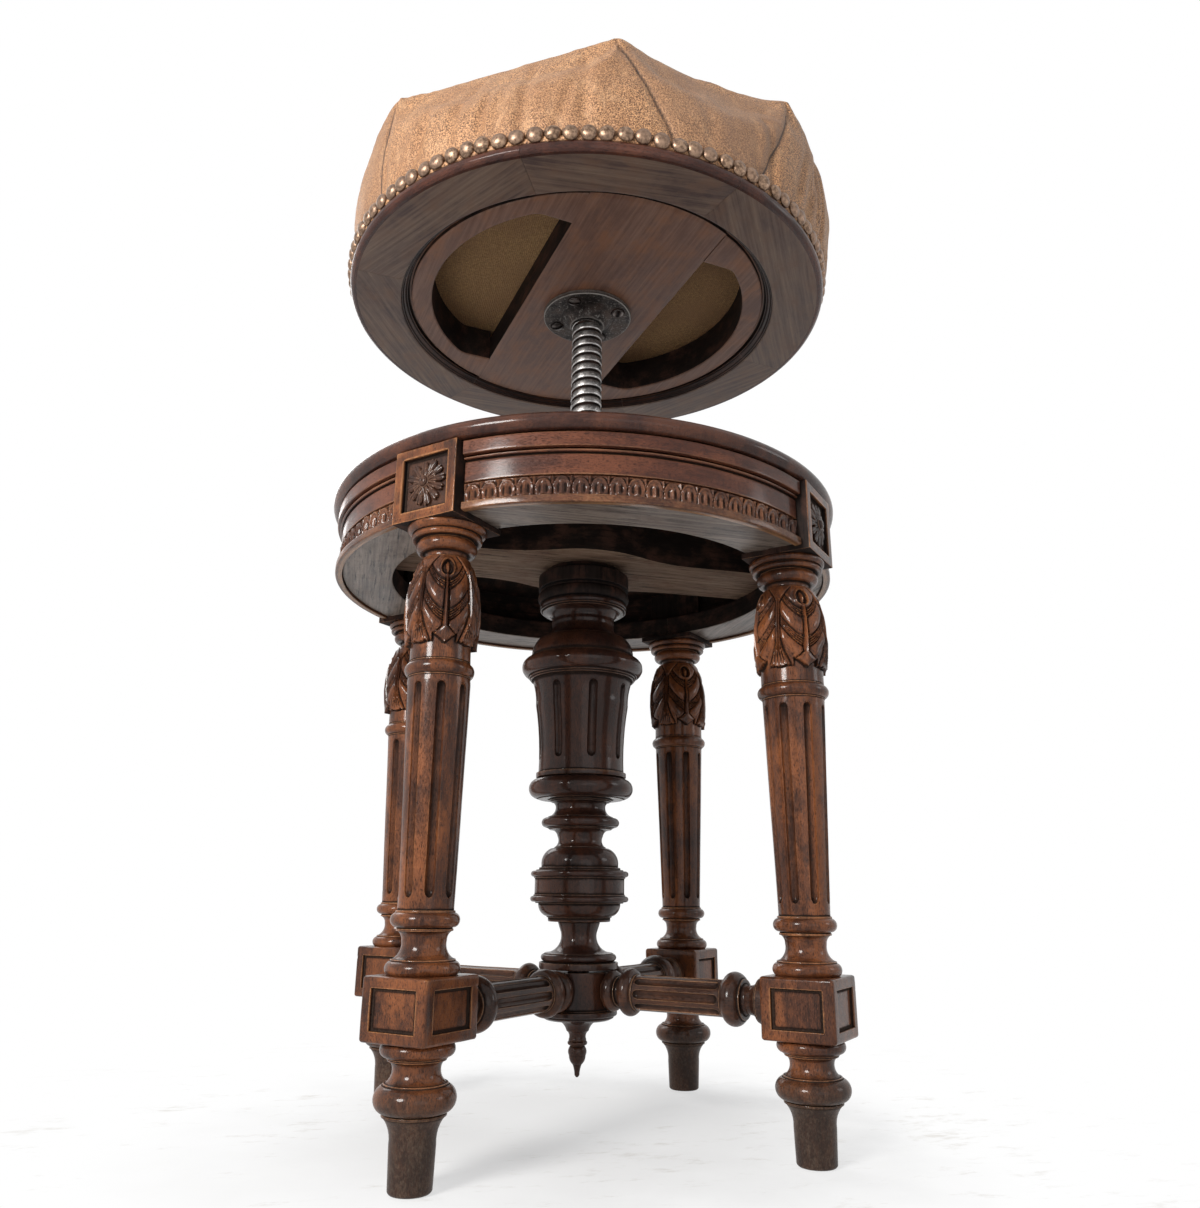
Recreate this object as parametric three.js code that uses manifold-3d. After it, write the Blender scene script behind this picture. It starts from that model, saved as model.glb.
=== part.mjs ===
// A revolving piano stool: four turned legs carry a round frame, an iron lead screw carries the seat.
// Lengths are in millimetres, +Z is up, and the origin is on the floor under the screw.
import * as THREE from "three";
import { mergeVertices } from "three/addons/utils/BufferGeometryUtils.js";
import Module from "manifold-3d";

const wasm = await Module();
wasm.setup();

// Clearances, and how far a cutter runs past the face it cuts
const FIT_GAP = 0.3;
const OVERRUN = 4;
const MERGE_DISTANCE = 0.0001;

// Roundness of the turned work
const ARC_STEP = Math.PI / 3;
const LEG_SIDES = 10;
const COLUMN_SIDES = 16;
const STRETCHER_SIDES = 8;
const SMALL_SIDES = 8;
const FLANGE_SIDES = 20;
const RIM_SIDES = 36;

// The four legs stand on one circle, a quarter turn apart
const LEG_COUNT = 4;
const LEG_CIRCLE_RADIUS = 156;

// Leg, from the sole up to the square block
const foot = {
  soleRadius: 11.2,
  shinRadius: 12,
  shinHeight: 20,
  ankleRadius: 13.6,
  ankleHeight: 8,
  flareRadius: 16.4,
  flareHeight: 5,
  filletHeight: 3,
  bulbRadius: 17.4,
  bulbHeight: 10,
  bulbSwell: 3.6,
  neckFootRadius: 15.4,
  neckRadius: 12.5,
  neckHeight: 7,
  neckHollow: 0.9,
  collarRadius: 14.6,
  collarHeight: 4,
  torusRadius: 17,
  torusHeight: 7,
  torusSwell: 2.5,
};

// Square block of the leg, with a sunk panel in the three faces that no stretcher enters
const block = {
  halfWidth: 21.7,
  height: 37,
  panelMargin: 6.5,
  panelDepth: 1.8,
};

// Leg, from the block up to the plate under the frame
const shaft = {
  torusRadius: 17.6,
  torusHeight: 7,
  torusSwell: 2.4,
  neckFootRadius: 16.7,
  neckRadius: 12,
  neckHeight: 10,
  neckHollow: 1.6,
  collarRadius: 15.2,
  collarHeight: 6,
  ringRadius: 15.8,
  ringHeight: 8,
  ringSwell: 2.7,
  bottomRadius: 15,
  topRadius: 19.2,
  height: 127,
  astragalRadius: 19.8,
  astragalHeight: 9,
  astragalSwell: 2.2,
  frieze: 8,
  friezeRadius: 19.4,
  capitalRadius: 20.8,
  capitalTopRadius: 16,
  capitalHeight: 54,
  capitalSwell: 4.2,
  topNeckRadius: 13.8,
  topNeckHeight: 4,
  lowDiscRadius: 17.4,
  lowDiscHeight: 8,
  lowDiscSwell: 2.3,
  highDiscRadius: 22.6,
  highDiscHeight: 8,
  highDiscSwell: 2.9,
};

// Flutes round the legs, the column and the stretchers
const FLUTE_COUNT = 8;
const FLUTE_SIDES = 4;
const legFlute = { halfWidth: 3.3, depth: 2.7, tipLength: 14, footMargin: 9, headMargin: 5 };
const columnFlute = { halfWidth: 4.6, depth: 3.6, tipLength: 12, footMargin: 11, headMargin: 4 };
const stretcherFlute = { halfWidth: 2.4, depth: 2, tipLength: 8, footMargin: 4, headMargin: 4 };

// Square post at the head of the leg: a thin plate under the ring board, and the post in front of it
const post = {
  halfWidth: 23,
  plateHeight: 3.7,
  plateDepth: 46,
  depth: 28,
  panelMargin: 6,
  panelDepth: 3.2,
};
// How far the front of the post stands out from the axis of the leg
const POST_REACH = 24;

// Rosette in the sunk square of the post
const rosette = {
  petals: 9,
  tipRadius: 15.6,
  valleyRadius: 10.5,
  tipHeight: 1.4,
  valleyHeight: 0.5,
  ringRadius: 7,
  ringHeight: 2.4,
  bossRadius: 3.2,
  bossHeight: 3.6,
};

// Frame: how far its faces stand out from the circle of the legs, and its heights from below
const frame = {
  boardReach: 16,
  boardWidth: 34,
  boardHeight: 15.7,
  bandReach: 21,
  bandLip: 2,
  lipHeight: 5,
  leafReach: 19.4,
  leafHeight: 10.4,
  leafSwell: 1.5,
  friezeReach: 18.4,
  friezeHeight: 12.6,
  beadReach: 20,
  beadHeight: 1.4,
  quirkDepth: 1.2,
  quirkHeight: 1.1,
  fasciaReach: 22,
  fasciaHeight: 10,
  railThickness: 16,
  rimReach: 22,
  rimSwell: 4.2,
  rimHeight: 12.5,
};

// Cross bar that carries the column, along X
const bar = {
  endHalfWidth: 32,
  waistReach: 75,
  bellyRadius: 50,
  endGap: 1.2,
  curveParts: 6,
  nutFloor: 7.7,
};

// Centre column, from the hub up to the cross bar; its fluted body takes what height is left
const column = {
  tenonRadius: 7,
  tenonLength: 11,
  collarRadius: 26,
  collarHeight: 4,
  torusRadius: 23.2,
  torusHeight: 5.7,
  torusSwell: 2,
  coveRadius: 21.5,
  coveTopRadius: 11.9,
  coveHeight: 12.5,
  coveHollow: 3.6,
  stemRadius: 14,
  stemHeight: 7,
  plateRadius: 20.8,
  plateHeight: 2.6,
  bowlRadius: 22.4,
  bowlTopRadius: 27.5,
  bowlHeight: 9,
  bowlSwell: 1.6,
  beltRingRadius: 31,
  beltRingHeight: 5.5,
  beltRingSwell: 2,
  beltRadius: 30.9,
  beltHeight: 10.5,
  shoulderRadius: 27.5,
  shoulderHeight: 2.5,
  ogeeRadius: 26,
  ogeeTopRadius: 19.8,
  ogeeHeight: 11.5,
  ogeeSwell: 2.2,
  waistRadius: 15.5,
  waistHeight: 8,
  waistHollow: 1.4,
  flareRadius: 22.4,
  flareHeight: 6,
  flareHollow: 1.8,
  midRingRadius: 24,
  midRingHeight: 6,
  midRingSwell: 2.7,
  midNeckFootRadius: 22.4,
  midNeckRadius: 17.1,
  midNeckHeight: 7.5,
  midNeckHollow: 1.6,
  midNeckTopRadius: 20.6,
  midNeckTopHeight: 5,
  cushionRadius: 30,
  cushionHeight: 14.5,
  cushionSwell: 6,
  bodyFilletRadius: 31,
  bodyFilletHeight: 3.5,
  bodyRadius: 29.7,
  bodyTopRadius: 34,
  bodyHollow: 1.3,
  crownFilletRadius: 37.5,
  crownFilletHeight: 3,
  crownRadius: 39,
  crownHeight: 12.5,
  crownSwell: 4,
  domeTopRadius: 31.6,
  domeHeight: 14.5,
  domeSwell: 2.4,
  headNeckRadius: 22.6,
  headNeckHeight: 12,
  headNeckHollow: 2.8,
  headFlareRadius: 29.4,
  headFlareHeight: 9.5,
  headFlareHollow: 2.4,
  headRingRadius: 31.4,
  headRingHeight: 16,
  headRingSwell: 2.2,
  headDrumRadius: 33,
  headDrumHeight: 10,
  capRadius: 27.3,
  capHeight: 5,
};
// Bore of the column round the screw, and how far it goes below the lowest place of the screw's foot
const BORE_CLEARANCE = 0.9;
const BORE_DEPTH_MARGIN = 4;

// Hub where the stretchers meet, centred on the stretchers' height
const hub = {
  plateRadius: 23.7,
  plateHeight: 2.6,
  lowCollarRadius: 25.5,
  lowCollarHeight: 3.6,
  drumRadius: 21.7,
  drumHeight: 24.4,
  socketDepth: 11.5,
};

// Drop finial under the hub, from its tenon down to its tip
const finial = {
  tenonRadius: 5,
  tenonLength: 9,
  topRadius: 15,
  coveHeight: 10.5,
  coveBottomRadius: 5.8,
  coveHollow: 3.4,
  stemHeight: 2.5,
  ringRadius: 6.3,
  ringHeight: 3.5,
  ringSwell: 1,
  neckRadius: 5.2,
  neckHeight: 1.5,
  dropHeight: 8,
  dropSwell: 2.2,
  dropBottomRadius: 3.6,
  tipRadius: 1.2,
  tipHeight: 8,
};

// Stretcher, from the hub out to the block of the leg; its fluted shaft takes what length is left
const stretcher = {
  tenonRadius: 6,
  tenonLength: 10,
  ballRadius: 9.8,
  ballLength: 9,
  ballSwell: 2.5,
  hubNeckRadius: 7.6,
  hubNeckLength: 4,
  hubNeckHollow: 0.5,
  hubTorusRadius: 10.8,
  hubTorusLength: 10,
  hubTorusSwell: 3.5,
  shaftRadius: 10.6,
  legTorusRadius: 11.6,
  legTorusLength: 13,
  legTorusSwell: 3.8,
  legNeckRadius: 8.4,
  legNeckLength: 3,
  flareRadius: 12.8,
  flareLength: 6,
  flareHollow: 0.9,
  endLength: 7,
};

// Lead screw: rounded crests with a narrow groove between them
const PITCH = 7.3;
const THREAD_SIDES = 12;
const THREAD_RADIUS = 12;
const THREAD_DEPTH = 1.6;
const CREST_WIDTH = 5;
const THREAD_CLEARANCE = 0.55;
const THREAD_CHAMFER = 1.6;
const SHANK_RADIUS = 8;
const JOURNAL_RADIUS = 6;
const JOURNAL_END = 2;

// Travel of the seat from the height it is shown at
const SEAT_RAISE = 176;
const TURNS_DOWN = 23;
const TURNS_UP = 0.75;
const STOP_GAP = 1.5;

// Stop washer and end nut on the journal at the foot of the screw
const washer = { radius: 11, thickness: 2.5 };
const endNut = { radius: 9, thickness: 4.2, sides: 6 };

// Nut of the screw, let into the cross bar, with a round flange flush in the top board
const nut = { radius: 19.5, flangeRadius: 31, flangeThickness: 3.4, screwCircle: 25.2 };
const nutScrew = { count: 4, headRadius: 3.6, headHeight: 2, shankRadius: 1.8, length: 9 };

// Flange that carries the seat on the screw
const flange = {
  radius: 35,
  thickness: 4,
  bossRadius: 20,
  bossTipRadius: 14,
  bossHeight: 7,
  screwCircle: 26.5,
};
const flangeScrew = {
  count: 4,
  headRadius: 4.4,
  headHeight: 1.8,
  headSwell: 0.9,
  shankRadius: 2,
  length: 12,
  slotWidth: 1.2,
  slotDepth: 1,
};

// Seat frame: a ring with a rounded lip, a sunk board inside it and two D-shaped openings
const seat = {
  radius: 184.4,
  lipHeight: 8,
  lipSwell: 1.6,
  rabbet: 3.2,
  height: 35,
  rimWidth: 37.4,
  recessDepth: 5,
  recessStep: 6,
  recessSwell: 1.4,
  openingMargin: 17,
  openingCorner: 26,
  openingParts: 12,
  cornerParts: 3,
};
const plank = {
  halfWidth: 52.5,
  thickness: 22,
  lapHeight: 10,
  lapReach: 20,
  turnDegrees: 99,
};

// Burlap on the seat frame
const canvas = { margin: 8.4, thickness: 1.5 };

// Cushion and its leather: eight corners above, round below, sides that swell and a low crown
const cushion = {
  panels: 8,
  columnsPerPanel: 6,
  cornerInset: 12.4,
  height: 83,
  hemThickness: 2.4,
  swell: 4.5,
  crownRise: 16,
  edgeRound: 7,
  sideParts: 4,
  crownParts: 3,
  cornerDegrees: 38.7,
  wideFootHalfDegrees: 33.5,
  seamDepth: 1.6,
};
// How far the upper edge of a broad panel swells from straight towards round, and a narrow one's
const WIDE_EDGE_ROUND_SHARE = 0.75;
const NARROW_EDGE_ROUND_SHARE = 0.08;
// Where the outermost ring of the crown lies, as a share of one ring's width
const CROWN_RIM_SHARE = 0.25;

// Finishes
const mahogany = new THREE.MeshStandardMaterial({ color: 0x4a2a1e, roughness: 0.42, metalness: 0 });
const wornMahogany = new THREE.MeshStandardMaterial({ color: 0x6b4028, roughness: 0.5, metalness: 0 });
const rawWood = new THREE.MeshStandardMaterial({ color: 0x5d4a40, roughness: 0.75, metalness: 0 });
const darkIron = new THREE.MeshStandardMaterial({ color: 0x4b4849, roughness: 0.38, metalness: 0.9 });
const brightIron = new THREE.MeshStandardMaterial({ color: 0x6f6c6c, roughness: 0.3, metalness: 0.95 });
const burlap = new THREE.MeshStandardMaterial({ color: 0x80643c, roughness: 0.95, metalness: 0 });
const leather = new THREE.MeshStandardMaterial({ color: 0xa27850, roughness: 0.7, metalness: 0 });

const QUARTER = Math.PI / 2;
const UPWARDS = [0, 0, 1];
const DOWNWARDS = [0, 0, -1];

// An outline of a turned piece: points of radius and height, walked from below upwards
class Outline {
  constructor(radius, height = 0) {
    this.points = [new THREE.Vector2(radius, height)];
  }

  get end() {
    return this.points.at(-1);
  }

  get height() {
    return this.end.y;
  }

  line(radius, rise) {
    this.points.push(new THREE.Vector2(radius, this.end.y + rise));
    return this;
  }

  step(radius) {
    return this.line(radius, 0);
  }

  rise(height) {
    return this.line(this.end.x, height);
  }

  // A round stretch to another radius: it swells outwards, or is hollow where the swell is negative
  round(radius, rise, swell) {
    const from = this.end.clone();
    const middle = new THREE.Vector2(radius, from.y + rise).add(from).divideScalar(2);
    const half = middle.clone().sub(from);
    const reach = half.length();
    const along = half.clone().normalize();
    const outward = new THREE.Vector2(along.y, -along.x);
    const halfAngle = 2 * Math.atan(swell / reach);
    const arcRadius = reach / Math.sin(halfAngle);
    const parts = Math.max(2, Math.round(Math.abs(2 * halfAngle) / ARC_STEP));
    for (let part = 1; part <= parts; part++) {
      const angle = halfAngle * ((2 * part) / parts - 1);
      const place = middle
        .clone()
        .addScaledVector(along, arcRadius * Math.sin(angle))
        .addScaledVector(outward, arcRadius * (Math.cos(angle) - Math.cos(halfAngle)));
      this.points.push(place);
    }
    return this;
  }

  bead(height, swell) {
    return this.round(this.end.x, height, swell);
  }

  close() {
    this.points.push(this.points[0].clone());
    return this;
  }
}

// A closed mesh as a solid that can be joined and cut
function solidOf(geometry) {
  const bare = new THREE.BufferGeometry();
  bare.setAttribute("position", geometry.getAttribute("position"));
  bare.setIndex(geometry.index);
  const merged = mergeVertices(bare, MERGE_DISTANCE);
  const corners = merged.index.array;
  const kept = [];
  for (let i = 0; i < corners.length; i += 3) {
    const [a, b, c] = corners.slice(i, i + 3);
    if (a !== b && b !== c && c !== a) kept.push(a, b, c);
  }
  return new wasm.Manifold(
    new wasm.Mesh({
      numProp: 3,
      vertProperties: merged.getAttribute("position").array,
      triVerts: new Uint32Array(kept),
    }),
  );
}

// The surface of a solid, with flat facets
function geometryOf(solid) {
  const mesh = solid.getMesh();
  const geometry = new THREE.BufferGeometry();
  geometry.setAttribute("position", new THREE.BufferAttribute(mesh.vertProperties, 3));
  geometry.setIndex(new THREE.BufferAttribute(mesh.triVerts, 1));
  const flat = geometry.toNonIndexed();
  flat.computeVertexNormals();
  return flat;
}

// A turned piece about +Z: one whose outline starts and ends on the axis, or closes on itself
function turned(outline, sides, turn = Math.PI / sides) {
  return new THREE.LatheGeometry(outline.points, sides, turn).rotateX(QUARTER);
}

// An outline closed to the axis at both ends
function closedToAxis(outline) {
  const closed = new Outline(0, outline.points[0].y);
  closed.points.push(...outline.points, new THREE.Vector2(0, outline.height));
  return closed;
}

function cylinder(radius, bottom, top, sides = SMALL_SIDES) {
  return turned(closedToAxis(new Outline(radius, bottom).line(radius, top - bottom)), sides);
}

// A round hole whose flats, not its corners, are at the radius, so that a round piece fits in it
function bore(radius, bottom, top, sides = SMALL_SIDES) {
  return cylinder(radius / Math.cos(Math.PI / sides), bottom, top, sides);
}

function boxBetween(x0, x1, y0, y1, z0, z1) {
  const box = new THREE.BoxGeometry(x1 - x0, y1 - y0, z1 - z0);
  return box.translate((x0 + x1) / 2, (y0 + y1) / 2, (z0 + z1) / 2);
}

// Solids of one shape, spaced evenly about +Z
function copiesAround(count, makeGeometry, firstTurn = 0) {
  return Array.from({ length: count }, (_, i) =>
    solidOf(makeGeometry().rotateZ(firstTurn + (2 * Math.PI * i) / count)),
  );
}

function cutAll(solid, cutters) {
  return cutters.reduce((left, cutter) => left.subtract(cutter), solid);
}

function joinAll(solids) {
  return solids.reduce((whole, solid) => whole.add(solid));
}

// Cutters of the flutes in a tapered shaft, each a flattened spindle along the surface: a long point
// below, a short one above, and as deep as the flute
function fluteCutters(flute, bottomRadius, topRadius, bottom, top) {
  const length = top - bottom - flute.footMargin - flute.headMargin;
  const shoulder = length - flute.tipLength - flute.halfWidth;
  const lean = Math.atan((topRadius - bottomRadius) / (top - bottom));
  const share = (flute.footMargin + length / 2) / (top - bottom);
  const middleRadius = bottomRadius + (topRadius - bottomRadius) * share;
  return copiesAround(FLUTE_COUNT, () => {
    const outline = new Outline(0, -length / 2)
      .line(flute.halfWidth, flute.tipLength)
      .rise(shoulder)
      .line(0, flute.halfWidth);
    return turned(outline, FLUTE_SIDES, 0)
      .scale(flute.depth / flute.halfWidth, 1, 1)
      .rotateY(lean)
      .translate(middleRadius, 0, bottom + flute.footMargin + length / 2);
  });
}

// Heights that the pieces share, worked out from the stacks below them
const footOutline = new Outline(foot.soleRadius)
  .line(foot.shinRadius, foot.shinHeight)
  .line(foot.ankleRadius, foot.ankleHeight)
  .line(foot.flareRadius, foot.flareHeight)
  .rise(foot.filletHeight)
  .step(foot.bulbRadius)
  .bead(foot.bulbHeight, foot.bulbSwell)
  .step(foot.neckFootRadius)
  .round(foot.neckRadius, foot.neckHeight, -foot.neckHollow)
  .line(foot.collarRadius, foot.collarHeight)
  .step(foot.torusRadius)
  .bead(foot.torusHeight, foot.torusSwell);
const blockBottom = footOutline.height;
const blockTop = blockBottom + block.height;
const stretcherHeight = (blockBottom + blockTop) / 2;

const shaftOutline = new Outline(shaft.torusRadius, blockTop)
  .bead(shaft.torusHeight, shaft.torusSwell)
  .step(shaft.neckFootRadius)
  .round(shaft.neckRadius, shaft.neckHeight, -shaft.neckHollow)
  .line(shaft.collarRadius, shaft.collarHeight)
  .step(shaft.ringRadius)
  .bead(shaft.ringHeight, shaft.ringSwell)
  .step(shaft.bottomRadius);
const shaftBottom = shaftOutline.height;
const shaftTop = shaftBottom + shaft.height;
shaftOutline
  .line(shaft.topRadius, shaft.height)
  .step(shaft.astragalRadius)
  .bead(shaft.astragalHeight, shaft.astragalSwell)
  .step(shaft.friezeRadius)
  .rise(shaft.frieze)
  .step(shaft.capitalRadius)
  .round(shaft.capitalTopRadius, shaft.capitalHeight, shaft.capitalSwell)
  .step(shaft.topNeckRadius)
  .rise(shaft.topNeckHeight)
  .step(shaft.lowDiscRadius)
  .bead(shaft.lowDiscHeight, shaft.lowDiscSwell)
  .step(shaft.highDiscRadius)
  .bead(shaft.highDiscHeight, shaft.highDiscSwell);

const plateBottom = shaftOutline.height;
const plateTop = plateBottom + post.plateHeight;
const boardBottom = plateTop + FIT_GAP;
const boardTop = boardBottom + frame.boardHeight;
const railBottom = boardTop + FIT_GAP;
const railHeight = frame.friezeHeight + 2 * frame.quirkHeight + frame.beadHeight + frame.fasciaHeight;
const railTop = railBottom + railHeight;
const rimBottom = railTop + FIT_GAP;
const frameTop = rimBottom + frame.rimHeight;

const hubCollarBottom = stretcherHeight - hub.drumHeight / 2;
const hubBottom = hubCollarBottom - hub.lowCollarHeight - hub.plateHeight;
const hubTop = stretcherHeight + hub.drumHeight / 2;
const columnBottom = hubTop + FIT_GAP;
const columnTop = railBottom - FIT_GAP;

const nutBottom = railBottom + bar.nutFloor;
const washerTop = nutBottom - STOP_GAP - TURNS_UP * PITCH;
const threadBottom = washerTop + FIT_GAP;
const washerBottom = washerTop - washer.thickness;
const endNutTop = washerBottom - FIT_GAP;
const endNutBottom = endNutTop - endNut.thickness;
const journalBottom = endNutBottom - JOURNAL_END;
const boreBottom = journalBottom - TURNS_DOWN * PITCH - BORE_DEPTH_MARGIN;
const boreRadius = THREAD_RADIUS + BORE_CLEARANCE;

const seatBottom = frameTop + SEAT_RAISE;
const seatBoardBottom = seatBottom + seat.recessDepth;
const seatTop = seatBottom + seat.height;
const lipTop = seatBottom + seat.lipHeight;
const flangeTop = seatBoardBottom - FIT_GAP;
const flangeBottom = flangeTop - flange.thickness;
const bossBottom = flangeBottom - flange.bossHeight;
const threadTop = bossBottom - FIT_GAP;
const canvasBottom = seatTop + FIT_GAP;
const cushionFloor = canvasBottom + canvas.thickness + FIT_GAP;

const recessRadius = seat.radius - seat.rimWidth;
const recessStepRadius = recessRadius - seat.recessStep;
const openingRadius = recessStepRadius - seat.openingMargin;
const canvasRadius = seat.radius - canvas.margin;
const coverInside = seat.radius - seat.rabbet + FIT_GAP;
const cornerRadius = seat.radius - cushion.cornerInset;

const drumOutline = {
  board: LEG_CIRCLE_RADIUS + frame.boardReach,
  band: LEG_CIRCLE_RADIUS + frame.bandReach,
  leaf: LEG_CIRCLE_RADIUS + frame.leafReach,
  frieze: LEG_CIRCLE_RADIUS + frame.friezeReach,
  bead: LEG_CIRCLE_RADIUS + frame.beadReach,
  fascia: LEG_CIRCLE_RADIUS + frame.fasciaReach,
  rim: LEG_CIRCLE_RADIUS + frame.rimReach,
  railInside: LEG_CIRCLE_RADIUS + frame.friezeReach - frame.railThickness,
  boardInside: LEG_CIRCLE_RADIUS + frame.boardReach - frame.boardWidth,
};

// The leg stands on the origin, and its outer face looks along +X
function makeLeg() {
  const lower = solidOf(turned(closedToAxis(footOutline), LEG_SIDES));
  const upper = solidOf(turned(closedToAxis(shaftOutline), LEG_SIDES));
  const side = block.halfWidth;
  const cube = solidOf(boxBetween(-side, side, -side, side, blockBottom, blockTop));
  const half = post.halfWidth;
  const plate = boxBetween(POST_REACH - post.plateDepth, POST_REACH, -half, half, plateBottom, plateTop);
  const stem = boxBetween(POST_REACH - post.depth, POST_REACH, -half, half, plateBottom, railTop);
  const whole = joinAll([lower, upper, cube, solidOf(plate), solidOf(stem)]);

  const margin = block.panelMargin;
  const panels = [-QUARTER, 0, QUARTER].map((turn) =>
    solidOf(
      boxBetween(
        side - block.panelDepth,
        side + OVERRUN,
        margin - side,
        side - margin,
        blockBottom + margin,
        blockTop - margin,
      ).rotateZ(turn),
    ),
  );
  const patera = boxBetween(
    POST_REACH - post.panelDepth,
    POST_REACH + OVERRUN,
    post.panelMargin - half,
    half - post.panelMargin,
    plateBottom + post.panelMargin,
    railTop - post.panelMargin,
  );
  const socket = bore(stretcher.tenonRadius + FIT_GAP, -side - OVERRUN, -side + hub.socketDepth)
    .rotateY(QUARTER)
    .translate(0, 0, stretcherHeight);
  const flutes = fluteCutters(legFlute, shaft.bottomRadius, shaft.topRadius, shaftBottom, shaftTop);
  return cutAll(whole, [...panels, solidOf(patera), solidOf(socket), ...flutes]);
}

// Petals round a raised boss, lying on the sunk square and looking along +Z
function makeRosette() {
  const places = [];
  const rings = [
    { out: rosette.tipRadius, in: rosette.valleyRadius, high: 0, low: 0 },
    { out: rosette.tipRadius, in: rosette.valleyRadius, high: rosette.tipHeight, low: rosette.valleyHeight },
    { out: rosette.ringRadius, in: rosette.ringRadius, high: rosette.ringHeight, low: rosette.tipHeight },
    { out: rosette.bossRadius, in: rosette.bossRadius, high: rosette.bossHeight, low: rosette.bossHeight },
  ];
  const around = 2 * rosette.petals;
  for (const ring of rings) {
    for (let i = 0; i < around; i++) {
      const angle = (Math.PI * i) / rosette.petals;
      const radius = i % 2 ? ring.in : ring.out;
      places.push(radius * Math.cos(angle), radius * Math.sin(angle), i % 2 ? ring.low : ring.high);
    }
  }
  return solidOf(stackedRings(places, around, rings.length));
}

// A closed skin over rings of points, one above another, with a flat cap at each end
function stackedRings(places, around, ringCount) {
  const faces = [];
  for (let ring = 0; ring < ringCount - 1; ring++) {
    for (let i = 0; i < around; i++) {
      const a = ring * around + i;
      const b = ring * around + ((i + 1) % around);
      faces.push(a, b, b + around, a, b + around, a + around);
    }
  }
  const last = (ringCount - 1) * around;
  for (let i = 1; i < around - 1; i++) {
    faces.push(0, i + 1, i);
    faces.push(last, last + i, last + i + 1);
  }
  const geometry = new THREE.BufferGeometry();
  geometry.setAttribute("position", new THREE.Float32BufferAttribute(places, 3));
  geometry.setIndex(faces);
  return geometry;
}

// The posts of the legs, grown by the gap, as cutters for what runs between them
function postCutters(bottom, top) {
  const inner = LEG_CIRCLE_RADIUS + POST_REACH - post.depth - FIT_GAP;
  const outer = LEG_CIRCLE_RADIUS + POST_REACH + frame.rimReach;
  const half = post.halfWidth + FIT_GAP;
  return copiesAround(
    LEG_COUNT,
    () => boxBetween(inner, outer, -half, half, bottom, top),
    Math.PI / LEG_COUNT,
  );
}

// The quarter of a ring between two posts, centred on +X
function quarterBetweenPosts(ring, bottom, top) {
  const reach = 2 * LEG_CIRCLE_RADIUS;
  const quarter = boxBetween(0, reach, 0, reach, bottom, top).rotateZ(-Math.PI / LEG_COUNT);
  return cutAll(ring.intersect(solidOf(quarter)), postCutters(bottom, top));
}

// Apron rail: frieze, a bead between two quirks, and the fascia
function makeRail() {
  const quirkRadius = drumOutline.frieze - frame.quirkDepth;
  const outline = new Outline(drumOutline.railInside, railBottom)
    .step(drumOutline.frieze)
    .rise(frame.friezeHeight)
    .step(quirkRadius)
    .rise(frame.quirkHeight)
    .step(drumOutline.bead)
    .rise(frame.beadHeight)
    .step(quirkRadius)
    .rise(frame.quirkHeight)
    .step(drumOutline.fascia)
    .rise(frame.fasciaHeight)
    .step(drumOutline.railInside)
    .close();
  const ring = solidOf(turned(outline, RIM_SIDES, 0));
  return quarterBetweenPosts(ring, railBottom - OVERRUN, railTop + OVERRUN);
}

// Leaf band along the edge of the ring board: a plain lip below, the swelling band above it
function makeLeafBand() {
  const inside = drumOutline.board + FIT_GAP;
  const bandBottom = boardBottom - frame.bandLip;
  const outline = new Outline(inside, bandBottom)
    .step(drumOutline.band)
    .rise(frame.lipHeight)
    .step(drumOutline.leaf)
    .bead(frame.leafHeight, frame.leafSwell);
  outline
    .rise(boardTop - outline.height)
    .step(inside)
    .close();
  const ring = solidOf(turned(outline, RIM_SIDES, 0));
  return quarterBetweenPosts(ring, bandBottom - OVERRUN, boardTop + OVERRUN);
}

// Ring board under the apron, notched for the posts
function makeRingBoard() {
  const outline = new Outline(drumOutline.boardInside, boardBottom)
    .step(drumOutline.board)
    .rise(frame.boardHeight)
    .step(drumOutline.boardInside)
    .close();
  const ring = solidOf(turned(outline, RIM_SIDES, 0));
  return cutAll(ring, postCutters(boardBottom - OVERRUN, boardTop + OVERRUN));
}

// Top board with its moulded rim, its hole for the nut and the pocket for the flange of the nut
function makeTopBoard() {
  const outline = new Outline(drumOutline.rim, rimBottom).bead(frame.rimHeight, frame.rimSwell);
  const board = solidOf(turned(closedToAxis(outline), RIM_SIDES, 0));
  const nutHole = bore(nut.radius + FIT_GAP, rimBottom - OVERRUN, frameTop, COLUMN_SIDES);
  const pocketBottom = frameTop - nut.flangeThickness - FIT_GAP;
  const pocket = bore(nut.flangeRadius + FIT_GAP, pocketBottom, frameTop + OVERRUN, COLUMN_SIDES);
  const holes = copiesAround(nutScrew.count, () =>
    bore(nutScrew.shankRadius + FIT_GAP, rimBottom - OVERRUN, frameTop).translate(nut.screwCircle, 0, 0),
  );
  return cutAll(board, [solidOf(nutHole), solidOf(pocket), ...holes]);
}

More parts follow.
